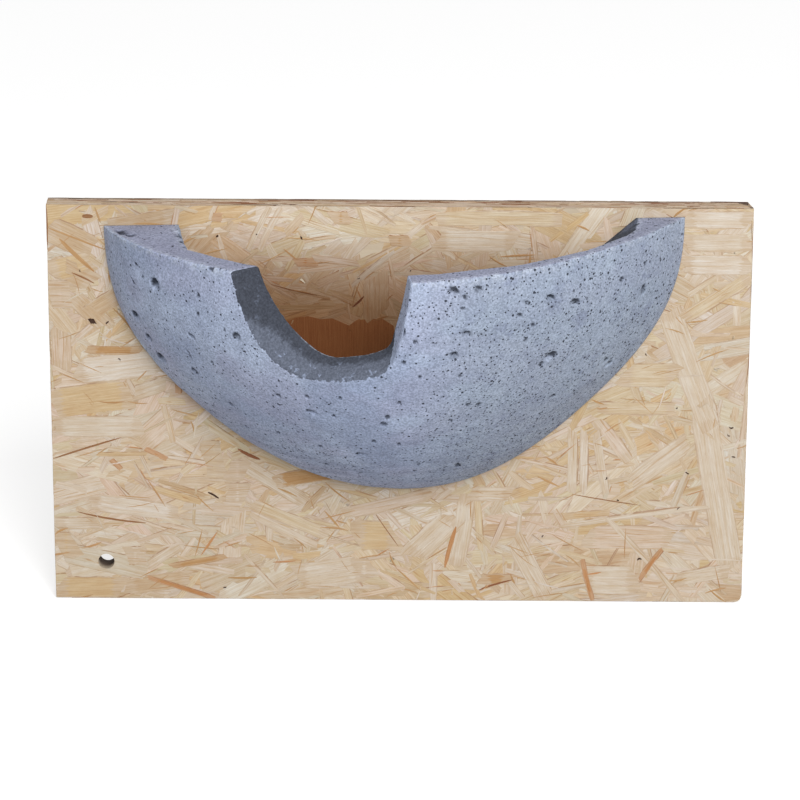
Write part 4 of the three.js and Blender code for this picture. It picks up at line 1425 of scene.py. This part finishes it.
class NestCupSettings(bpy.types.PropertyGroup):
    lump_height: length_setting("Lumps", "Height of broad unevenness", 0.35 * MM)
    grain_height: length_setting("Grain", "Height of the sandy grain", 0.09 * MM)
    crumble_depth: length_setting("Crumbled edges", "Depth of crumbled edges", 0.5 * MM)
    pit_count: count_setting("Small pits", "Small pits besides the larger ones", 60)
    pit_seed: seed_setting("Pit seed", "Seed of the small pits", 5)
    # Darkness of the painted shade in the pores
    pore_strength: factor_setting("Pores", "Darkness of the pores", 0.9)
    speckle_strength: factor_setting("Speckle", "Strength of the sand speckle", 0.42)
    light: colour_setting("Light", "Lightest concrete", 169, 181, 204)
    mid: colour_setting("Middle", "Middle concrete", 148, 160, 186)
    lilac: colour_setting("Lilac", "Lilac clouds", 159, 160, 186)
    grey: colour_setting("Grey", "Greyer concrete to the right", 149, 160, 174)
    # Darker drag marks, blotches and stains, and the streaks in the painted shade at the hollow's right end
    dark: colour_setting("Dark", "Darker drag marks", 120, 128, 152)
    rim_tone: colour_setting("Rim", "Top of the rim", 140, 142, 163)
    # Pale sandy edges, and the painted highlights on the rim's edges and the notch's lip
    edge_tone: colour_setting("Edges", "Sandy edges", 176, 184, 198)
    # The smooth sawn band, and the painted shade at the hollow's right end
    cut_dark: colour_setting("Sawn, smooth", "Smooth band of the sawn notch", 62, 66, 76)
    # The rough sawn band, and the painted shade over the hollow
    cut_light: colour_setting("Sawn, rough", "Rough band of the sawn notch", 92, 98, 112)
    # Painted shade inside pores, pits and chips
    pore_tone: colour_setting("Pores", "Inside of pores and pits", 32, 36, 46)


class NestScrewSettings(bpy.types.PropertyGroup):
    zinc: colour_setting("Zinc", "Bright zinc", 200, 198, 190)
    dull_zinc: colour_setting("Dull zinc", "Dulled zinc", 168, 165, 156)


class NestStageSettings(bpy.types.PropertyGroup):
    azimuth: angle_setting("Azimuth", "Camera's turn to the right of the front", 0.53)
    elevation: angle_setting("Elevation", "Camera's angle above the level", 19.834)
    roll: angle_setting("Roll", "Camera's turn round its view", 0.193)
    distance: length_setting("Distance", "Camera's distance from its target", 1.8246)
    target: place_setting("Target", "Point in the middle of the view", (0.0003, 0, -0.00064))
    lens: bpy.props.FloatProperty(
        name="Lens", description="Focal length in millimetres on a 36 mm sensor", default=189.51)
    sky: bpy.props.FloatProperty(name="Sky", description="Strength of the even light", default=0.5)
    key: bpy.props.FloatProperty(
        name="Key light", description="Power of the front light", default=27.0, unit="POWER")
    key_place: place_setting("Key place", "Middle of the front light", (0.35, -1.4, 1.05))
    floor_tone: bpy.props.FloatVectorProperty(
        name="Floor", description="Floor colour", default=(0.65, 0.65, 0.65), subtype="COLOR")
    floor_glow: bpy.props.FloatProperty(
        name="Floor glow", description="Light that the floor adds where the camera sees it", default=0.55)


class NEST_OT_board(bpy.types.Operator):
    """Covers the board's front and back with pressed flakes"""

    bl_idname = "nest.board"
    bl_label = "Board flakes"

    def execute(self, context):
        settings = context.scene.nest_board
        material = make_face_strands(settings)
        strand_piece("edge_strands", edge_arrays(settings), material)
        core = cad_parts["backboard"]
        core.data.materials.clear()
        core.data.materials.append(make_core_material(settings))
        return {"FINISHED"}


class NEST_OT_cup(bpy.types.Operator):
    """Makes the cast concrete cup"""

    bl_idname = "nest.cup"
    bl_label = "Concrete cup"

    def execute(self, context):
        make_cup(context.scene.nest_cup)
        return {"FINISHED"}


class NEST_OT_screws(bpy.types.Operator):
    """Gives the three fixing screws their zinc finish"""

    bl_idname = "nest.screws"
    bl_label = "Fixing screws"

    def execute(self, context):
        material = make_zinc_material(context.scene.nest_screws)
        for side in ("left", "right", "bottom"):
            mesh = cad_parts["fixing_screw_" + side].data
            mesh.materials.clear()
            mesh.materials.append(material)
        return {"FINISHED"}


def make_floor(settings):
    """Flat pale floor just under the board, as one wide grid."""
    reach = np.linspace(-FLOOR_REACH, FLOOR_REACH, FLOOR_POINTS)
    x, y = np.meshgrid(reach, reach, indexing="ij")
    z = np.full_like(x, -BOARD_HALF_HEIGHT - FLOOR_GAP)
    points = np.stack([x, y, z], axis=2).reshape(-1, 3)
    quads = grid_quads(FLOOR_POINTS, FLOOR_POINTS)
    material, graph, shader, _ = new_material("studio_floor")
    shader.inputs["Base Color"].default_value = graph.colour(settings.floor_tone)
    shader.inputs["Roughness"].default_value = 0.9
    shader.inputs["Emission Color"].default_value = graph.colour((1, 1, 1))
    seen = graph.node("ShaderNodeLightPath").outputs["Is Camera Ray"]
    graph.feed(shader.inputs["Emission Strength"], graph.times(seen, settings.floor_glow))
    new_piece("studio_floor", points, quads, {}, {}, material, False)


def make_lights(settings):
    """Even sky with a large soft light in front, above and to the right."""
    world = bpy.data.worlds.new("studio_sky")
    world.use_nodes = True
    background = world.node_tree.nodes["Background"]
    background.inputs["Color"].default_value = (1, 1, 1, 1)
    background.inputs["Strength"].default_value = settings.sky
    bpy.context.scene.world = world
    light = bpy.data.lights.new("front_light", "AREA")
    light.shape = "DISK"
    light.size = LIGHT_SIZE
    light.energy = settings.key
    lamp = bpy.data.objects.new("front_light", light)
    lamp.location = settings.key_place
    aim = Vector((0, 0, 0)) - lamp.location
    lamp.rotation_euler = aim.to_track_quat("-Z", "Y").to_euler()
    bpy.context.scene.collection.objects.link(lamp)


def make_camera(settings):
    """Camera at its azimuth, elevation and distance from the target, turned by its roll."""
    cos_el = math.cos(settings.elevation)
    out = Vector((
        math.sin(settings.azimuth) * cos_el,
        -math.cos(settings.azimuth) * cos_el,
        math.sin(settings.elevation),
    ))
    right = Vector((0, 0, 1)).cross(out).normalized()
    up = out.cross(right)
    cosine = math.cos(settings.roll)
    sine = math.sin(settings.roll)
    turned_right = cosine * right + sine * up
    turned_up = cosine * up - sine * right
    place = Vector(settings.target) + out * settings.distance
    camera_data = bpy.data.cameras.new("camera")
    camera_data.lens = settings.lens
    camera_data.sensor_width = SENSOR_WIDTH
    camera_data.clip_end = VIEW_END
    camera = bpy.data.objects.new("camera", camera_data)
    turn = Matrix((turned_right, turned_up, out)).transposed()
    camera.matrix_world = Matrix.Translation(place) @ turn.to_4x4()
    bpy.context.scene.collection.objects.link(camera)
    bpy.context.scene.camera = camera


class NEST_OT_stage(bpy.types.Operator):
    """Sets up the floor, the lights and the camera"""

    bl_idname = "nest.stage"
    bl_label = "Studio"

    def execute(self, context):
        settings = context.scene.nest_stage
        make_floor(settings)
        make_lights(settings)
        make_camera(settings)
        context.scene.view_settings.view_transform = "Standard"
        return {"FINISHED"}


class NEST_PT_panel(bpy.types.Panel):
    """Sidebar list of the nest's pieces"""

    bl_idname = "NEST_PT_panel"
    bl_label = "Concrete nest"
    bl_space_type = "VIEW_3D"
    bl_region_type = "UI"
    bl_category = "Nest"

    def draw(self, context):
        for step in OPERATORS:
            self.layout.operator(step.bl_idname)
        for name in SETTINGS:
            settings = getattr(context.scene, name)
            box = self.layout.box()
            for key in settings.__annotations__:
                box.prop(settings, key)


SETTINGS = {
    "nest_board": NestBoardSettings,
    "nest_cup": NestCupSettings,
    "nest_screws": NestScrewSettings,
    "nest_stage": NestStageSettings,
}
OPERATORS = (NEST_OT_board, NEST_OT_cup, NEST_OT_screws, NEST_OT_stage)


def register():
    """Registers the settings, the operators and the panel."""
    for name, group in SETTINGS.items():
        bpy.utils.register_class(group)
        setattr(bpy.types.Scene, name, bpy.props.PointerProperty(type=group))
    for step in OPERATORS:
        bpy.utils.register_class(step)
    bpy.utils.register_class(NEST_PT_panel)


def unregister():
    """Takes away what register added, in reverse."""
    bpy.utils.unregister_class(NEST_PT_panel)
    for step in reversed(OPERATORS):
        bpy.utils.unregister_class(step)
    for name, group in SETTINGS.items():
        delattr(bpy.types.Scene, name)
        bpy.utils.unregister_class(group)


def main():
    """Makes every piece through its operator."""
    register()
    bpy.ops.nest.board()
    bpy.ops.nest.cup()
    bpy.ops.nest.screws()
    bpy.ops.nest.stage()


if __name__ == "__main__":
    main()
